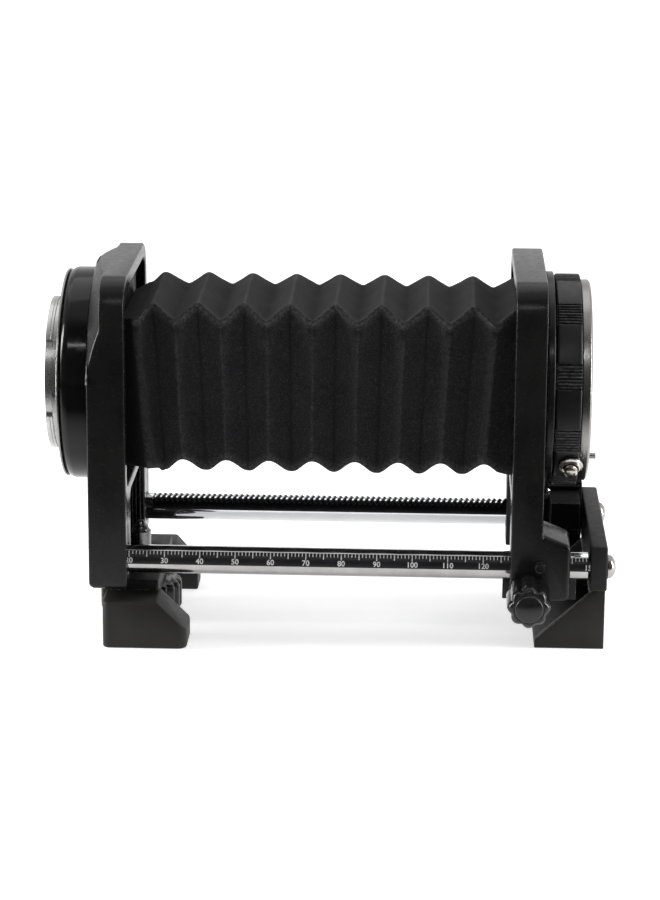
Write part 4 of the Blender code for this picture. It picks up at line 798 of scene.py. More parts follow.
# ---- Bellows -------------------------------------------------------------------------------------------
FOLD_PITCH = 12.86
FIRST_VALLEY = 19.77
BELLOWS_Z = rail(49.0)
RIDGE_HALF_HEIGHT, VALLEY_HALF_HEIGHT = 24.3, 20.3
RIDGE_HALF_WIDTH, VALLEY_HALF_WIDTH = 21.5, 25.3
BELLOWS_START, BELLOWS_END = 17.4, 129.7
GATHER = 0.062
GATHER_MIDDLE = 74.0
STEPS_PER_FOLD = 26
SIDE_STEPS = 22
CORNER_STEPS = 4
CORNER_ROUND = 1.1


def soft_wave(phase, crest, trough):
    """0 to 1 zigzag, 1 at phase 0, with its crests and troughs rounded by different amounts."""
    s = math.cos(2 * math.pi * phase)
    sharp = crest if s > 0 else trough
    return 0.5 + 0.5 * math.asin(sharp * s) / math.asin(sharp)


def section_points(w, top, low):
    """Points as (y, z, kind, along) round one section: kind 0 top, 1 near side, 2 bottom, 3 far side."""
    points = []
    r = CORNER_ROUND
    sides = (
        ((w - r, top), (-w + r, top), (-w + r, top - r), 90, 0),
        ((-w, top - r), (-w, -low + r), (-w + r, -low + r), 180, 1),
        ((-w + r, -low), (w - r, -low), (w - r, -low + r), 270, 2),
        ((w, -low + r), (w, top - r), (w - r, top - r), 0, 3),
    )
    for start, end, centre, angle, kind in sides:
        for i in range(SIDE_STEPS):
            t = i / (SIDE_STEPS - 1)
            points.append((start[0] + (end[0] - start[0]) * t, start[1] + (end[1] - start[1]) * t, kind, t))
        for i in range(1, CORNER_STEPS):
            a = math.radians(angle + 90 * i / CORNER_STEPS)
            points.append((centre[0] + r * math.cos(a), centre[1] + r * math.sin(a), kind, 1.0))
    return points


def bell(value, width):
    return math.exp(-(value / width) ** 2)


def bellows():
    """Folded cloth tube: tall narrow sections alternate with low wide ones, gathered at the bottom."""
    folds = (BELLOWS_END - FIRST_VALLEY) / FOLD_PITCH
    count = int(folds * STEPS_PER_FOLD)
    stations = [BELLOWS_START + 0.4 * i for i in range(6)]
    stations += [FIRST_VALLEY + FOLD_PITCH * folds * i / count for i in range(count + 1)]
    bm = bmesh.new()
    worn_layer = bm.verts.layers.float.new("worn")
    # Per-point painted shade: fold valleys, dimples, the top panel and the first bay.
    painted_shade_layer = bm.verts.layers.float.new("painted_shade")
    rings = []
    for reading in stations:
        phase = ((reading - FIRST_VALLEY) / FOLD_PITCH) % 1.0
        fold = math.floor((reading - FIRST_VALLEY) / FOLD_PITCH + 0.5)
        if reading < FIRST_VALLEY:
            phase = 0.0
        rise = RIDGE_HALF_HEIGHT - VALLEY_HALF_HEIGHT
        top = VALLEY_HALF_HEIGHT + rise * soft_wave(phase - 0.5, 0.88, 0.97)
        low = VALLEY_HALF_HEIGHT + rise * soft_wave(phase - 0.5, 0.35, 0.60)
        lead = min(1.0, max(0.0, 1 - (reading - FIRST_VALLEY) / (0.5 * FOLD_PITCH)))
        low += 0.70 * rise * lead
        width = RIDGE_HALF_WIDTH + (VALLEY_HALF_WIDTH - RIDGE_HALF_WIDTH) * soft_wave(phase, 0.96, 0.992)
        if reading < FIRST_VALLEY:
            t = (FIRST_VALLEY - reading) / (FIRST_VALLEY - BELLOWS_START)
            width -= 5.0 * t
            top -= 1.3 * t
        ring = []
        for y, z, kind, along in section_points(width, top, low):
            ring.append(bellows_vert(bm, reading, y, z, kind, along, phase, fold, worn_layer, painted_shade_layer))
        rings.append(ring)
    for first, second in zip(rings, rings[1:]):
        stitch(bm, first, second)
    piece = mesh_piece("bellows_folds", bm, along_z(0, 0, BELLOWS_Z))
    shell = piece.modifiers.new("cloth", "SOLIDIFY")
    shell.thickness = 0.5 * MM
    shell.offset = -1.0
    bake(piece)
    finish(piece, ROOT, CLOTH, "bellows", slot="cloth", sharp=75.0)
    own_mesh(piece)


def bellows_vert(bm, reading, y, z, kind, along, phase, fold, worn_layer, painted_shade_layer):
    """One point of the cloth, moved by gathering, sag, dimples and small unevenness, with its wear and
    painted shade values.
    """
    down = min(1.0, max(0.0, 0.5 - z / 48.0))
    inside = min(1.0, (reading - BELLOWS_START) / 3.0, (BELLOWS_END - reading) / 3.0)
    start_slip = (1.3 + 2.6 * down) * bell(reading - FIRST_VALLEY, 4.5)
    x = reading + inside * (GATHER * down * (GATHER_MIDDLE - reading) + start_slip)
    wobble = 0.32 * noise.noise(Vector((fold * 3.1, y * 0.05, z * 0.05 + kind)))
    x += inside * wobble
    uneven = 0.22 * noise.noise(Vector((x * 0.16, y * 0.10, z * 0.10)))
    panel = abs(math.sin(2 * math.pi * phase))
    out_y, out_z = ((0, 1), (-1, 0), (0, -1), (1, 0))[kind]
    push = inside * (uneven - 0.30 * panel * math.sin(math.pi * along))
    corner_gap = (1 - along if along > 0.5 else along) * (43.0 if kind in (0, 2) else 45.0)
    to_valley = min(phase, 1 - phase) * FOLD_PITCH
    to_ridge = abs(phase - 0.5) * FOLD_PITCH
    on_side = kind in (1, 3)
    dimple = bell(to_valley, 0.9) * bell(corner_gap - 1.6, 1.3) if on_side and z > 0 else 0.0
    push -= inside * 1.1 * dimple
    y, z = y + push * out_y, z + push * out_z
    vert = bm.verts.new((at(x), y * MM, z * MM))
    edge = bell(corner_gap, 1.0)
    # Painted shade in the side folds, dimples and top and bottom valleys, and a darker top panel; wear along
    # crests and corners.
    if on_side:
        painted_shade = 0.9 * bell(to_ridge, 0.42) * (0.55 + 0.45 * bell(corner_gap, 22.0)) + dimple
        worn = 0.30 * bell(to_valley, 0.35) + 0.55 * edge
    else:
        painted_shade = (0.25 if kind == 0 else 0.0) + 0.35 * bell(to_valley, 0.4)
        worn = 0.30 * bell(to_ridge, 0.35) + 0.55 * edge
    # Painted shadow: the first bay next to the rear standard goes to near black.
    if reading < FIRST_VALLEY:
        painted_shade, worn = max(painted_shade, min(1.0, 1.6 * (FIRST_VALLEY - reading))), 0.0
    vert[worn_layer] = min(1.0, worn)
    vert[painted_shade_layer] = min(1.0, painted_shade)
    return vert


# ---- Camera side mount ---------------------------------------------------------------------------------


def about_optic(reading, degrees, circle):
    angle = math.radians(degrees)
    return along_x(at(reading), circle * math.cos(angle), OPTIC_Z + circle * math.sin(angle))


def radial(x, angle, reach=0.0):
    """Local Z points outward from the optical axis at this angle, measured from +Y towards +Z."""
    out = Vector((0.0, math.cos(angle), math.sin(angle)))
    side = Vector((1.0, 0.0, 0.0))
    turn = Matrix((side, out.cross(side), out)).transposed().to_4x4()
    return Matrix.Translation(Vector((x, 0.0, OPTIC_Z)) + out * reach) @ turn


CAMERA_SCREW_CIRCLE = 26.0 * MM


def flange_drills(radius, low, high, steps):
    """Four cutters on the circle of the camera flange's screws."""
    places = [about_optic(0.0, 45 + 90 * i, CAMERA_SCREW_CIRCLE) for i in range(4)]
    return [rod("drill", place, radius, low, high, steps) for place in places]


def camera_mount():
    zero = along_x(at(0.0), 0, OPTIC_Z)
    low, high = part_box("rear_collar")
    front, back, r = (low.x - ZERO_X) / MM, (high.x - ZERO_X) / MM, (high.y - low.y) / 2 / MM
    collar = [(r, back), (r, front + 2.0), (r - 0.35, front + 1.0), (r - 1.0, front)]
    collar += [(20.0, front), (20.0, back)]
    profile = rounded(in_mm(collar), 0.25 * MM)
    piece = lathe("collar_ring", zero, profile, 160)
    carve(piece, *flange_drills(1.6 * MM, -MM, 1.4 * MM, 32), *flange_drills(1.0 * MM, -MM, 6 * MM, 24))
    finish(piece, ROOT, COLLAR, "rear_collar", slot="satin_black")

    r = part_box("camera_flange")[1].y
    ring = [(r - 0.15 * MM, 0.0), (r, 0.15 * MM), (r, 0.5 * MM), (r - 0.1 * MM, 0.6 * MM)]
    ring += [(24.0 * MM, 0.6 * MM), (24.0 * MM, 0.0)]
    piece = lathe("camera_flange_plate", zero, ring, 160)
    carve(piece, *flange_drills(1.6 * MM, -MM, 1.4 * MM, 32))
    finish(piece, ROOT, FLANGE, "camera_flange", slot="satin_silver")
    bayonet(zero)


def fan(name, middle_angle, half_angle, inner, outer, low, high):
    """Cutter in the shape of a ring's sector about the optical axis."""
    first, last = middle_angle - half_angle, middle_angle + half_angle
    outline = arc(0, 0, outer, first, last, 12) + arc(0, 0, inner, last, first, 12)
    return prism(name, along_x(0, 0, OPTIC_Z), outline, low, high)


def bayonet(zero):
    """Turned spigot with three tabs behind a groove, and a slit on its near side."""
    low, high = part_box("camera_bayonet")
    tip, r = (low.x - ZERO_X) / MM, (high.y - low.y) / 2 / MM
    outline = [
        (21.6, 0.6), (21.6, -2.3), (r, -2.3), (r, -2.9), (r - 0.12, -3.0), (r, -3.1), (r, tip), (19.2, tip),
        (19.2, tip + 0.8), (19.8, tip + 1.4), (19.8, 0.6),
    ]
    piece = lathe("bayonet_ring", zero, rounded(in_mm(outline), 0.18 * MM, 2), 192)
    gaps = []
    for start in (52, 172, 292):
        gaps.append(fan("gap", start, 30, 20.6 * MM, 26 * MM, at(tip - 1), at(-2.3)))
    pin_hole = rod("pin_hole", radial(at(-1.4), math.pi / 2), 0.85 * MM, 21.1 * MM, 24 * MM, 24)
    lock_hole = rod("lock_hole", radial(at(-1.35), math.radians(183)), 0.85 * MM, 20.4 * MM, 24 * MM, 24)
    sink = rod("sink", radial(at(-1.35), math.radians(183)), 1.15 * MM, 21.45 * MM, 24 * MM, 32)
    slit_low = (at(tip - 1), -24 * MM, OPTIC_Z + 13.2 * MM)
    slit_high = (at(-0.2), -12 * MM, OPTIC_Z + 13.45 * MM)
    carve(piece, *gaps, pin_hole, lock_hole, sink, block("slit", slit_low, slit_high))
    finish(piece, ROOT, BAYONET, "camera_bayonet", slot="satin_silver", sharp=30.0)


# ---- Lens side mount -----------------------------------------------------------------------------------
BAND_HALF = 7.25
BAND_PITCH = 36.0
FIRST_BAND = 129.0
RIBS = 8
RING_SHORT = 0.9 * MM


def grip_radius(degrees, full):
    """Outer radius of the grip ring: eight grooves in each band, smooth pads between."""
    off = (degrees - FIRST_BAND + BAND_PITCH / 2) % BAND_PITCH - BAND_PITCH / 2
    if abs(off) > BAND_HALF:
        return full
    groove = (off + BAND_HALF) / (2 * BAND_HALF) * RIBS % 1.0
    return full - 0.55 * MM * bell(groove - 0.5, 0.22)


def lens_ring():
    low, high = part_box("lens_mount_ring")
    full, inner = (high.y - low.y) / 2, 22.4 * MM
    steps = 1080
    end = high.x - RING_SHORT
    profile = [(0.55, low.x), (0.12, low.x + 0.35 * MM), (0.0, low.x + 0.8 * MM)]
    profile += [(0.0, end - 0.5 * MM), (0.08, end - 0.2 * MM), (0.3, end)]
    bm = bmesh.new()
    rings = []
    for inset, x in profile:
        depth = 1.0 if 0.0 <= inset < 0.3 else 0.0
        ring = []
        for i in range(steps):
            degrees = 360.0 * i / steps
            a = math.radians(degrees)
            r = full - inset * MM - depth * (full - grip_radius(degrees, full))
            ring.append(bm.verts.new((x, r * math.cos(a), OPTIC_Z + r * math.sin(a))))
        rings.append(ring)
    for x in (end, low.x):
        angles = [2 * math.pi * i / steps for i in range(steps)]
        bore_ring = [(x, inner * math.cos(a), OPTIC_Z + inner * math.sin(a)) for a in angles]
        rings.append([bm.verts.new(point) for point in bore_ring])
    for first, second in zip(rings, rings[1:] + rings[:1]):
        stitch(bm, first, second)
    piece = mesh_piece("grip_ring", bm)
    bore = rod("bore", radial(at(144.0), BUTTON_ANGLE), 3.1 * MM, 26.3 * MM, 34 * MM, 40)
    carve(piece, bore, pin_bore(high.x))
    finish(piece, CARRIAGE, GRIP, "lens_mount_ring", slot="satin_black", sharp=40.0)


BUTTON_ANGLE = math.radians(217.5)


def pin_bore(end_x):
    """Cutter for the lens lock pin's bore, a millimetre past the given face."""
    pin = middle("lens_lock_pin")
    place = along_x(ZERO_X, pin.y, pin.z)
    return rod("pin_bore", place, 1.15 * MM, at(LENS_PIN_BORE_START) - ZERO_X, end_x - ZERO_X + MM, 24)


def lens_mount():
    low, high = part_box("lens_base_ring")
    r = (high.y - low.y) / 2
    outline = [(r, low.x), (r, high.x), (22.4 * MM, high.x), (22.4 * MM, low.x)]
    base = lathe("base_ring", along_x(0, 0, OPTIC_Z), rounded(outline, 0.5 * MM, 4), 160)
    finish(base, CARRIAGE, ENAMEL, "lens_base_ring", slot="gloss_black")

    low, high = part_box("lens_flange")
    r = (high.y - low.y) / 2
    seat_x = low.x - RING_SHORT
    outline = [(r - 0.7 * MM, high.x), (r, high.x - 0.55 * MM), (r, seat_x)]
    outline += [(20.4 * MM, seat_x), (20.4 * MM, high.x)]
    piece = lathe("silver_lens_flange", along_x(0, 0, OPTIC_Z), rounded(outline, 0.15 * MM, 2), 160)
    cutters = [pin_bore(high.x)]
    for i in range(5):
        screw = middle(f"lens_flange_screw_{i + 1}")
        seat = along_x(high.x, screw.y, screw.z)
        cutters.append(rod("seat", seat, 1.6 * MM, -0.9 * MM, MM, 32))
        cutters.append(rod("hole", seat, 1.0 * MM, -3.0 * MM, MM, 24))
    for start in (95, 215, 335):
        cutters.append(fan("claw_gap", start, 28, 18 * MM, 22.3 * MM, low.x - MM, high.x + MM))
    carve(piece, *cutters)
    finish(piece, CARRIAGE, FLANGE, "lens_flange", slot="satin_silver")
    lens_ring()
    release_button()


def release_button():
    """Stepped nickel button in its flanged collar."""
    place = radial(middle("release_button").x, BUTTON_ANGLE)
    r = 1.85
    outline = [(0.0, 34.0), (1.2, 34.0), (1.6, 33.85), (r, 33.5), (r, 32.95), (1.55, 32.8), (1.55, 32.6)]
    outline += [(r, 32.4), (r, 29.0), (0.0, 29.0)]
    piece = lathe("nickel_release_button", place, in_mm(outline), 48, closed=False)
    finish(piece, "release_body", NICKEL, "release_button", slot="nickel")
    collar = [(2.15, 32.0), (2.35, 32.15), (2.6, 31.95), (2.8, 31.6), (3.35, 31.45), (3.45, 31.2)]
    collar += [(3.4, 30.9), (2.8, 30.8), (2.8, 29.4), (2.15, 29.4)]
    piece = lathe("nickel_button_collar", place, in_mm(collar), 64)
    finish(piece, CARRIAGE, NICKEL, "release_collar", slot="nickel")


def button_spring():
    """Small coil under the release button; the real one shortens as the button goes in, this mesh keeps its
    length.
    """
    place = radial(middle("release_button").x, BUTTON_ANGLE)
    low, rise, coil_r, wire_r = 26.75 * MM, 1.8 * MM, 1.3 * MM, 0.15 * MM
    turns, per_turn, sides = 3, 32, 10
    bm = bmesh.new()
    rings = []
    for i in range(turns * per_turn + 1):
        angle = 2 * math.pi * i / per_turn
        height = low + rise * i / (turns * per_turn)
        ring = []
        for r, v in arc(coil_r, height, wire_r, 0, 360 - 360 / sides, sides - 1):
            ring.append(bm.verts.new((r * math.cos(angle), r * math.sin(angle), v)))
        rings.append(ring)
    for first, second in zip(rings, rings[1:]):
        stitch(bm, first, second)
    bm.faces.new(rings[0])
    bm.faces.new(rings[-1][::-1])
    piece = mesh_piece("button_coil_spring", bm, place)
    finish(piece, CARRIAGE, STEEL, "release_spring", slot="steel", sharp=50.0)
    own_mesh(piece)


# ---- Knobs and wheel -----------------------------------------------------------------------------------


def lobed(radius, depth, lobes, per_lobe, power=1.0):
    points = []
    total = lobes * per_lobe
    for i in range(total):
        angle = 2 * math.pi * i / total
        swell = math.sqrt(math.cos(lobes * angle / 2) ** 2 + 0.02) ** power
        r = radius - depth * (1 - swell)
        points.append((r * math.cos(angle), r * math.sin(angle)))
    return points


def layered(name, matrix, layers):
    """A closed shape through outlines of equal length at rising heights."""
    bm = bmesh.new()
    rings = [[bm.verts.new((u, v, height)) for u, v in outline] for outline, height in layers]
    for first, second in zip(rings, rings[1:]):
        stitch(bm, first, second)
    bm.faces.new(rings[0][::-1])
    bm.faces.new(rings[-1])
    return mesh_piece(name, bm, matrix)


def lock_knob():
    """Eight-lobed knob with a plain raised disc on its face."""
    low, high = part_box("lock_knob")
    centre = middle("lock_screw")
    place = along_minus_y(centre.x, 0, centre.z)
    back, face, front = -high.y, -low.y - 0.8 * MM, -low.y
    r = (high.x - low.x) / 2

    def ring(radius, depth):
        return lobed(radius, depth, 8, 14)

    layers = [
        (ring(r - 0.7 * MM, 0.6 * MM), back), (ring(r - 0.1 * MM, 0.9 * MM), back + 0.5 * MM),
        (ring(r, 1.0 * MM), back + 1.2 * MM), (ring(r, 1.0 * MM), face - 2.2 * MM),
        (ring(r - 0.15 * MM, 0.95 * MM), face - 1.4 * MM), (ring(r - 0.55 * MM, 0.75 * MM), face - 0.75 * MM),
        (ring(r - 1.1 * MM, 0.4 * MM), face - 0.35 * MM), (ring(r - 1.6 * MM, 0.1 * MM), face - 0.15 * MM),
        (ring(4.15 * MM, 0.0), face - 0.2 * MM), (ring(3.95 * MM, 0.0), face + 0.2 * MM),
        (ring(3.8 * MM, 0.0), front - 0.15 * MM), (ring(3.6 * MM, 0.0), front),
    ]
    piece = layered("lobed_lock_knob", place, layers)
    hole = rod("hole", place, 1.7 * MM, 30 * MM, face - 2.7 * MM, 32)
    carve(piece, hole)
    finish(piece, "lock_drive", PLASTIC, "lock_knob", slot="moulded_black", sharp=50.0)


def focus_knob():
    low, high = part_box("focus_knob")
    shaft = middle("focus_shaft")
    place = along_minus_y(shaft.x, 0, shaft.z)
    inner, outer = -low.y, -high.y
    r = (high.x - low.x) / 2

    def ring(inset, depth):
        return lobed(r - inset * MM, depth * MM, 36, 6)

    layers = [
        (ring(1.4, 0.0), outer), (ring(0.7, 0.1), outer + 0.2 * MM), (ring(0.2, 0.4), outer + 0.9 * MM),
        (ring(0.0, 0.5), outer + 1.5 * MM), (ring(0.0, 0.5), inner - 2.6 * MM),
        (ring(0.4, 0.2), inner - 2.2 * MM),
        (ring(1.0, 0.0), inner - 1.9 * MM), (ring(1.2, 0.0), inner - 0.5 * MM), (ring(1.6, 0.0), inner),
    ]
    piece = layered("fluted_focus_knob", place, layers)
    bore = rod("bore", place, 1.8 * MM, outer + 2.7 * MM, inner + 3 * MM, 32)
    dish_floor, dish_mouth = outer + 0.5 * MM, outer - MM
    outline = [(0.0, dish_floor), (4.5 * MM, dish_floor), (5.5 * MM, dish_mouth), (0.0, dish_mouth)]
    dish = lathe("dish", place, outline, 64, closed=False)
    carve(piece, bore, dish)
    finish(piece, "focus_drive", PLASTIC, "focus_knob", slot="moulded_black", sharp=50.0)


def foot_wheel():
    low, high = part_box("foot_wheel")
    centre = middle("foot_wheel")
    r = (high.x - low.x) / 2
    bush = (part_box("tripod_bush")[1].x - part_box("tripod_bush")[0].x) / 2

    def ring(inset, depth):
        return lobed(r - inset * MM, depth * MM, 22, 10, 0.7)

    layers = [
        (ring(1.4, 0.4), low.z), (ring(0.4, 0.8), low.z + 0.5 * MM), (ring(0.0, 1.0), low.z + 1.2 * MM),
        (ring(0.0, 1.0), high.z - 1.2 * MM), (ring(0.4, 0.8), high.z - 0.5 * MM), (ring(1.4, 0.4), high.z),
    ]
    piece = layered("knurled_foot_wheel", along_z(centre.x, centre.y, 0), layers)
    bore = rod("bore", along_z(centre.x, centre.y, 0), bush + 0.3 * MM, low.z - MM, high.z + MM, 64)
    carve(piece, bore)
    finish(piece, "foot_wheel_body", PLASTIC, "foot_wheel", slot="moulded_black", sharp=50.0)


# ---- Feet, end bar and small parts ---------------------------------------------------------------------


FOOT_SCREW_Y = 18 * MM


def end_bar():
    low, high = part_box("end_bar")
    bar = block("bar_casting", low, high)
    ease(bar, 0.55 * MM, 4)
    bake(bar)
    places = [along_x(low.x, side * RAIL_Y, RAIL_Z) for side in (-1, 1)]
    holes = [rod("hole", place, 1.8 * MM, -MM, 8 * MM, 32) for place in places]
    x = middle("front_foot_screw_far").x
    places = [along_z(x, side * FOOT_SCREW_Y, low.z) for side in (-1, 1)]
    holes += [rod("blind", place, 1.3 * MM, -MM, 6 * MM, 24) for place in places]
    carve(bar, *holes)
    bar.data.materials.append(BAR_PAINT)
    bar.data.materials.append(PAINTED_SHADE)
    # Painted shade: the bar's inner face, towards the standard, takes the dull black.
    for polygon in bar.data.polygons:
        polygon.material_index = 1 if polygon.normal.x < -0.9 else 0
    finish(bar, ROOT, BAR_PAINT, "end_bar", slot="satin_black")


def front_foot():
    """Bent sheet channel: two gussets, a floor and a front wall."""
    low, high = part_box("front_foot")
    toe, heel, half, top = low.x, high.x, high.y, high.z
    gusset = [(toe, low.z), (heel, low.z), (heel, top), (at(GUSSET_TOP), top), (toe, low.z + 2.6 * MM)]
    foot = prism("foot_channel", along_minus_y(0, 0, 0), gusset, -half, half)
    wall = 2.0 * MM
    inside = (toe - MM, -half + wall, low.z + wall)
    mouth = block("mouth", inside, (at(FRONT_FOOT_MOUTH_END), half - wall, top + 5 * MM))
    hollow = block("hollow", inside, (heel - wall, half - wall, top - 1.8 * MM))
    x = middle("front_foot_screw_far").x
    places = [along_z(x, side * FOOT_SCREW_Y, top) for side in (-1, 1)]
    drills = [rod("drill", place, 1.3 * MM, -4 * MM, MM, 24) for place in places]
    reliefs = [rod("relief", place, 2.0 * MM, -5 * MM, -1.8 * MM, 32) for place in places]
    carve(foot, mouth, hollow, width=0.25 * MM, segments=2)
    carve(foot, *drills, *reliefs)
    finish(foot, ROOT, SATIN, "front_foot", slot="satin_black")


def foot_plan(start, end, inner, outer):
    """Plan of one foot block, wide curves on its two outer corners."""
    corners = [(start, inner, 0.6), (end, inner, 0.8), (end, outer, 2.6), (start, outer, 2.0)]
    plan = []
    for i, (x, y, radius) in enumerate(corners):
        before, after = Vector(corners[i - 1][:2]), Vector(corners[(i + 1) % 4][:2])
        here = Vector((x, y))
        first = here + (before - here).normalized() * radius * MM
        last = here + (after - here).normalized() * radius * MM
        centre = first + last - here
        steps = 6
        for k in range(steps + 1):
            t = math.pi / 2 * k / steps
            plan.append(tuple(centre + (first - centre) * math.cos(t) + (last - centre) * math.sin(t)))
    return plan


def rear_foot():
    """Two rounded blocks joined by a bridge under the standard."""
    low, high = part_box("rear_foot")
    start, top = at(REAR_PLATE_BACK), rail(-10.7)
    inner = 20.4 * MM
    blocks = []
    slope_top = at(FOOT_SLOPE_TOP)
    ends = (("foot_near", low.y, at(FOOT_NEAR_END)), ("foot_far", high.y, at(FOOT_FAR_END)))
    for name, outer, end in ends:
        plan = foot_plan(start, end, math.copysign(inner, outer), outer)
        piece = prism(name, Matrix.Identity(4), plan, 0.0, top)
        slope = [(end + MM, 5.5 * MM), (end + MM, top + MM), (slope_top - 1.2 * MM, top + MM)]
        slope += [(slope_top, top), (end, 5.5 * MM)]
        wedge = prism("wedge", along_minus_y(0, 0, 0), slope, -40 * MM, 40 * MM)
        blocks.append(carve(piece, wedge, width=0.55 * MM))
    foot, far = blocks
    bridge_low = 10.8 * MM
    bridge_half = inner + 2 * MM
    corners = (at(BRIDGE_START), -bridge_half, bridge_low), (at(BRIDGE_END), bridge_half, high.z)
    bridge = block("bridge", *corners, 0.7 * MM)
    combine(foot, "UNION", (far, bridge))
    centre = middle("foot_wheel")
    cutters = [rod("bush", along_z(centre.x, centre.y, 0), 4.2 * MM, 9 * MM, 20 * MM, 48)]
    for side in (-1, 1):
        place = along_z(middle("foot_screw_near").x, side * 15 * MM, bridge_low)
        cutters.append(rod("hole", place, 1.0 * MM, -MM, 9 * MM, 24))
        cutters.append(rod("seat", place, 1.4 * MM, -MM, 1.6 * MM, 32))
    carve(foot, *cutters)
    foot.name = "foot_blocks"
    finish(foot, ROOT, SATIN, "rear_foot", slot="satin_black")


def tripod_bush():
    low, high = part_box("tripod_bush")
    top = high.z / MM
    standard = REAR_LOW.z / MM
    outline = [
        (0.0, top), (0.9, top), (1.15, top - 0.25), (1.6, top - 1.4), (2.0, top - 1.5), (2.15, top - 1.7),
        (2.5, top - 2.8), (2.85, top - 2.9), (3.0, top - 3.1), (3.0, standard + 0.8), (3.6, standard + 0.6),
        (3.9, standard + 0.4), (3.9, 10.5), (5.2, 10.5), (5.2, 0.3), (4.9, 0.0), (3.4, 0.0), (3.2, 0.4),
        (3.2, 8.0),
        (0.0, 9.0),
    ]
    centre = middle("foot_wheel")
    piece = lathe("stepped_stud", along_z(centre.x, centre.y, 0), in_mm(outline), 64, closed=False)
    finish(piece, ROOT, BLACK_NICKEL, "tripod_bush", slot="nickel")


def cover_screw():
    """Cross-slotted pan head on the pinion cover."""
    centre = middle("pinion_cover_screw")
    head_back = -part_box("pinion_cover")[0].y
    outline = [(0.0, 1.45), (1.1, 1.40), (1.15, 1.2), (1.25, 1.2), (1.35, 1.5), (1.55, 1.4), (1.9, 0.95)]
    outline += [(1.9, 0.3), (0.6, 0.3), (0.6, -5.0), (0.0, -5.0)]
    place = along_minus_y(centre.x, 0, centre.z) @ Matrix.Translation((0, 0, head_back))
    piece = lathe("pan_head_screw", place, in_mm(outline), 48, closed=False)
    slots = []
    for long, wide in ((1.2, 0.18), (0.18, 1.2)):
        shape = round_rect(-long * MM, -wide * MM, long * MM, wide * MM, 0.1 * MM, 2)
        slots.append(prism("slot", place, shape, 1.0 * MM, 3 * MM))
    carve(piece, *slots)
    finish(piece, CARRIAGE, CHROME, "pinion_cover_screw", slot="chrome")


STEEL_NODES = ["bayonet_index_pin", "bayonet_lock_screw", "gib_screw", "focus_shaft", "lock_screw"]
STEEL_NODES += ["lens_lock_pin"]
STEEL_NODES += [f"{screw}_near" for screw in ("rear_grub", "foot_screw", "front_foot_screw")]
STEEL_NODES += [f"{screw}_far" for screw in ("rear_grub", "foot_screw", "front_foot_screw")]
STEEL_NODES += [f"camera_flange_screw_{i}" for i in range(1, 5)]
STEEL_NODES += [f"lens_flange_screw_{i}" for i in range(1, 6)]
KEPT_NODES = dict.fromkeys(STEEL_NODES, STEEL)
# The pinion cover takes the dull black as painted shade.
KEPT_NODES.update(rear_bellows_frame=SATIN, front_bellows_frame=SATIN, pinion_cover=PAINTED_SHADE, focus_pinion=BRASS)


def dress_kept_nodes():
    for node, material in KEPT_NODES.items():
        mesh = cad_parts[node].data
        mesh.materials.clear()
        mesh.materials.append(material)


# ---- Stage, light and camera ---------------------------------------------------------------------------
CAMERA_READING = 103.62
CAMERA_BACK = 801.16 * MM
CAMERA_HEIGHT = 244.655 * MM
FOCAL_LENGTH = 114.67
YAW, PITCH, ROLL = 0.0350, 0.2668, 0.0071


def floor():
    """Pale table; in reflections only, it fades to black towards the camera, as over a black card."""
    bm = bmesh.new()
    bmesh.ops.create_grid(bm, x_segments=2, y_segments=2, size=6.0)
    piece = mesh_piece("floor", bm, along_z(0, 0, CAD_BOX[0][2] - 0.05 * MM))
    look = Look("pale_floor", 0.9, specular=0.1)
    pale = look.mix(look.noise(400.0), (0.90, 0.90, 0.90), (0.93, 0.93, 0.93))
    split = look.tree.nodes.new("ShaderNodeSeparateXYZ")
    look.link(look.coord.outputs["Object"], split, "Vector")
    near = look.map_range(split.outputs["Y"], -0.060, -0.15, 0.0, 1.0)
    path = look.tree.nodes.new("ShaderNodeLightPath")
    card = look.math("MULTIPLY", near, path.outputs["Is Glossy Ray"])
    look.color(look.mix(card, pale, (0.03, 0.03, 0.03)))
    glow = look.mix(path.outputs["Is Camera Ray"], (0.42, 0.42, 0.42), (0.62, 0.62, 0.62))
    look.link(look.mix(card, glow, (0.0, 0.0, 0.0)), look.shader, "Emission Color")
    look.shader.inputs["Emission Strength"].default_value = 1.0
    piece.data.materials.append(look.material)


def area_light(name, place, target, size, watts):
    light = bpy.data.lights.new(name, "AREA")
    light.shape = "RECTANGLE"
    light.size, light.size_y = size
    light.energy = watts
    lamp = bpy.data.objects.new(name, light)
    lamp.location = place
    lamp.rotation_euler = (Vector(target) - Vector(place)).to_track_quat("-Z", "Y").to_euler()
    bpy.context.scene.collection.objects.link(lamp)


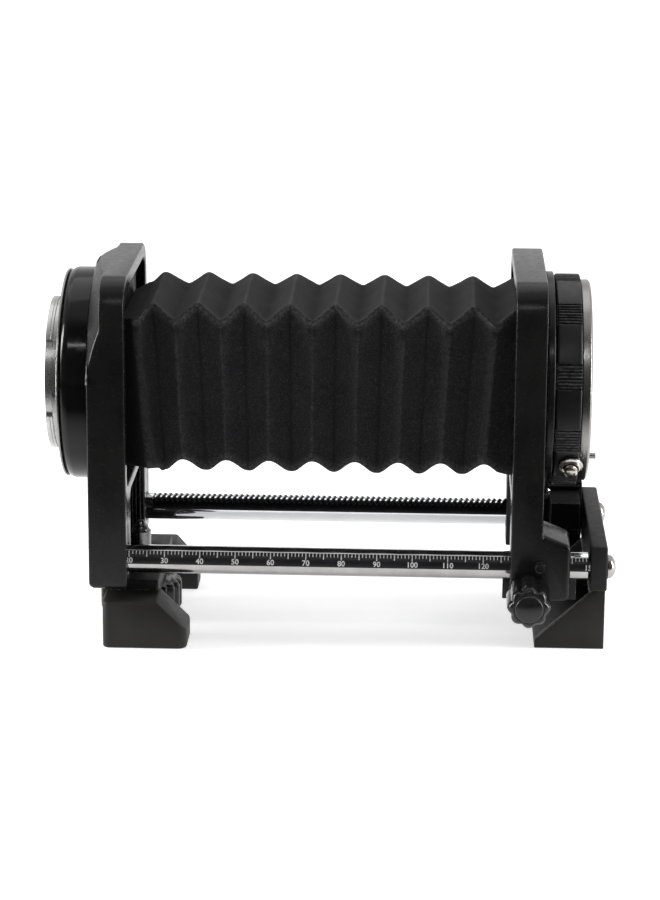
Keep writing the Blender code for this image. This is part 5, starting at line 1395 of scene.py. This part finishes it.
def studio_world():
    """White overhead and behind, dark on the camera's side."""
    world = bpy.data.worlds.new("studio")
    bpy.context.scene.world = world
    world.use_nodes = True
    tree = world.node_tree
    background = tree.nodes["Background"]
    coord = tree.nodes.new("ShaderNodeTexCoord")
    split = tree.nodes.new("ShaderNodeSeparateXYZ")
    tree.links.new(coord.outputs["Generated"], split.inputs["Vector"])
    over = tree.nodes.new("ShaderNodeVectorMath")
    over.operation = "DOT_PRODUCT"
    tree.links.new(coord.outputs["Generated"], over.inputs[0])
    over.inputs[1].default_value = (0.0, 0.42, 0.91)
    sources = (
        (split.outputs["Y"], -0.55, 0.45, FRONT_LEVEL, BACK_LEVEL),
        (over.outputs["Value"], 0.60, 0.85, 0.0, 1.0),
    )
    levels = []
    for source, start, end, low, high in sources:
        ramp = tree.nodes.new("ShaderNodeMapRange")
        ramp.interpolation_type = "SMOOTHSTEP"
        for socket, value in zip(RANGE_SOCKETS, (start, end, low, high)):
            ramp.inputs[socket].default_value = value
        tree.links.new(source, ramp.inputs["Value"])
        levels.append(ramp.outputs["Result"])
    blend = tree.nodes.new("ShaderNodeMix")
    tree.links.new(levels[1], blend.inputs[0])
    tree.links.new(levels[0], blend.inputs[2])
    blend.inputs[3].default_value = OVERHEAD_LEVEL
    tree.links.new(blend.outputs[0], background.inputs["Strength"])
    background.inputs["Color"].default_value = (1.0, 1.0, 1.0, 1.0)


FRONT_LEVEL, BACK_LEVEL, OVERHEAD_LEVEL = 0.07, 0.85, 0.62


def lights():
    studio_world()
    centre = (0.0, 0.0, OPTIC_Z)
    area_light("overhead", (-0.1, 0.50, 1.05), centre, (1.3, 0.8), 2.6)
    area_light("front_strip", (0.0, -0.75, 0.75), centre, (0.6, 0.03), 0.8)
    area_light("left_strip", (-0.60, -0.06, 0.20), centre, (0.10, 0.45), 3.4)
    area_light("right_strip", (0.60, -0.06, 0.20), centre, (0.10, 0.45), 2.6)


def camera():
    scene = bpy.context.scene
    data = bpy.data.cameras.new("camera")
    data.lens = FOCAL_LENGTH
    data.sensor_width = 36.0
    data.clip_start, data.clip_end = 0.01, 50.0
    forward = Vector((-math.sin(YAW) * math.cos(PITCH), math.cos(YAW) * math.cos(PITCH), -math.sin(PITCH)))
    right = Vector((math.cos(YAW), math.sin(YAW), 0.0))
    up = right.cross(forward)
    rolled_right = math.cos(ROLL) * right + math.sin(ROLL) * up
    rolled_up = -math.sin(ROLL) * right + math.cos(ROLL) * up
    turn = Matrix((rolled_right, rolled_up, -forward)).transposed().to_4x4()
    eye = bpy.data.objects.new("camera", data)
    place = Vector((at(CAMERA_READING), -CAMERA_BACK, RAIL_Z + CAMERA_HEIGHT))
    eye.matrix_world = Matrix.Translation(place) @ turn
    scene.collection.objects.link(eye)
    scene.camera = eye
    scene.view_settings.view_transform = "Standard"


dress_kept_nodes()
scale_rod()
scale_marks()
rack_rod()
rod_end_screw("near_rod_screw", -1, "scale_rod_end_screw")
rod_end_screw("far_rod_screw", 1, "rack_rod_end_screw")
rear_standard()
front_standard()
bellows()
camera_mount()
lens_mount()
button_spring()
lock_knob()
focus_knob()
foot_wheel()
end_bar()
front_foot()
rear_foot()
tripod_bush()
cover_screw()
floor()
lights()
camera()
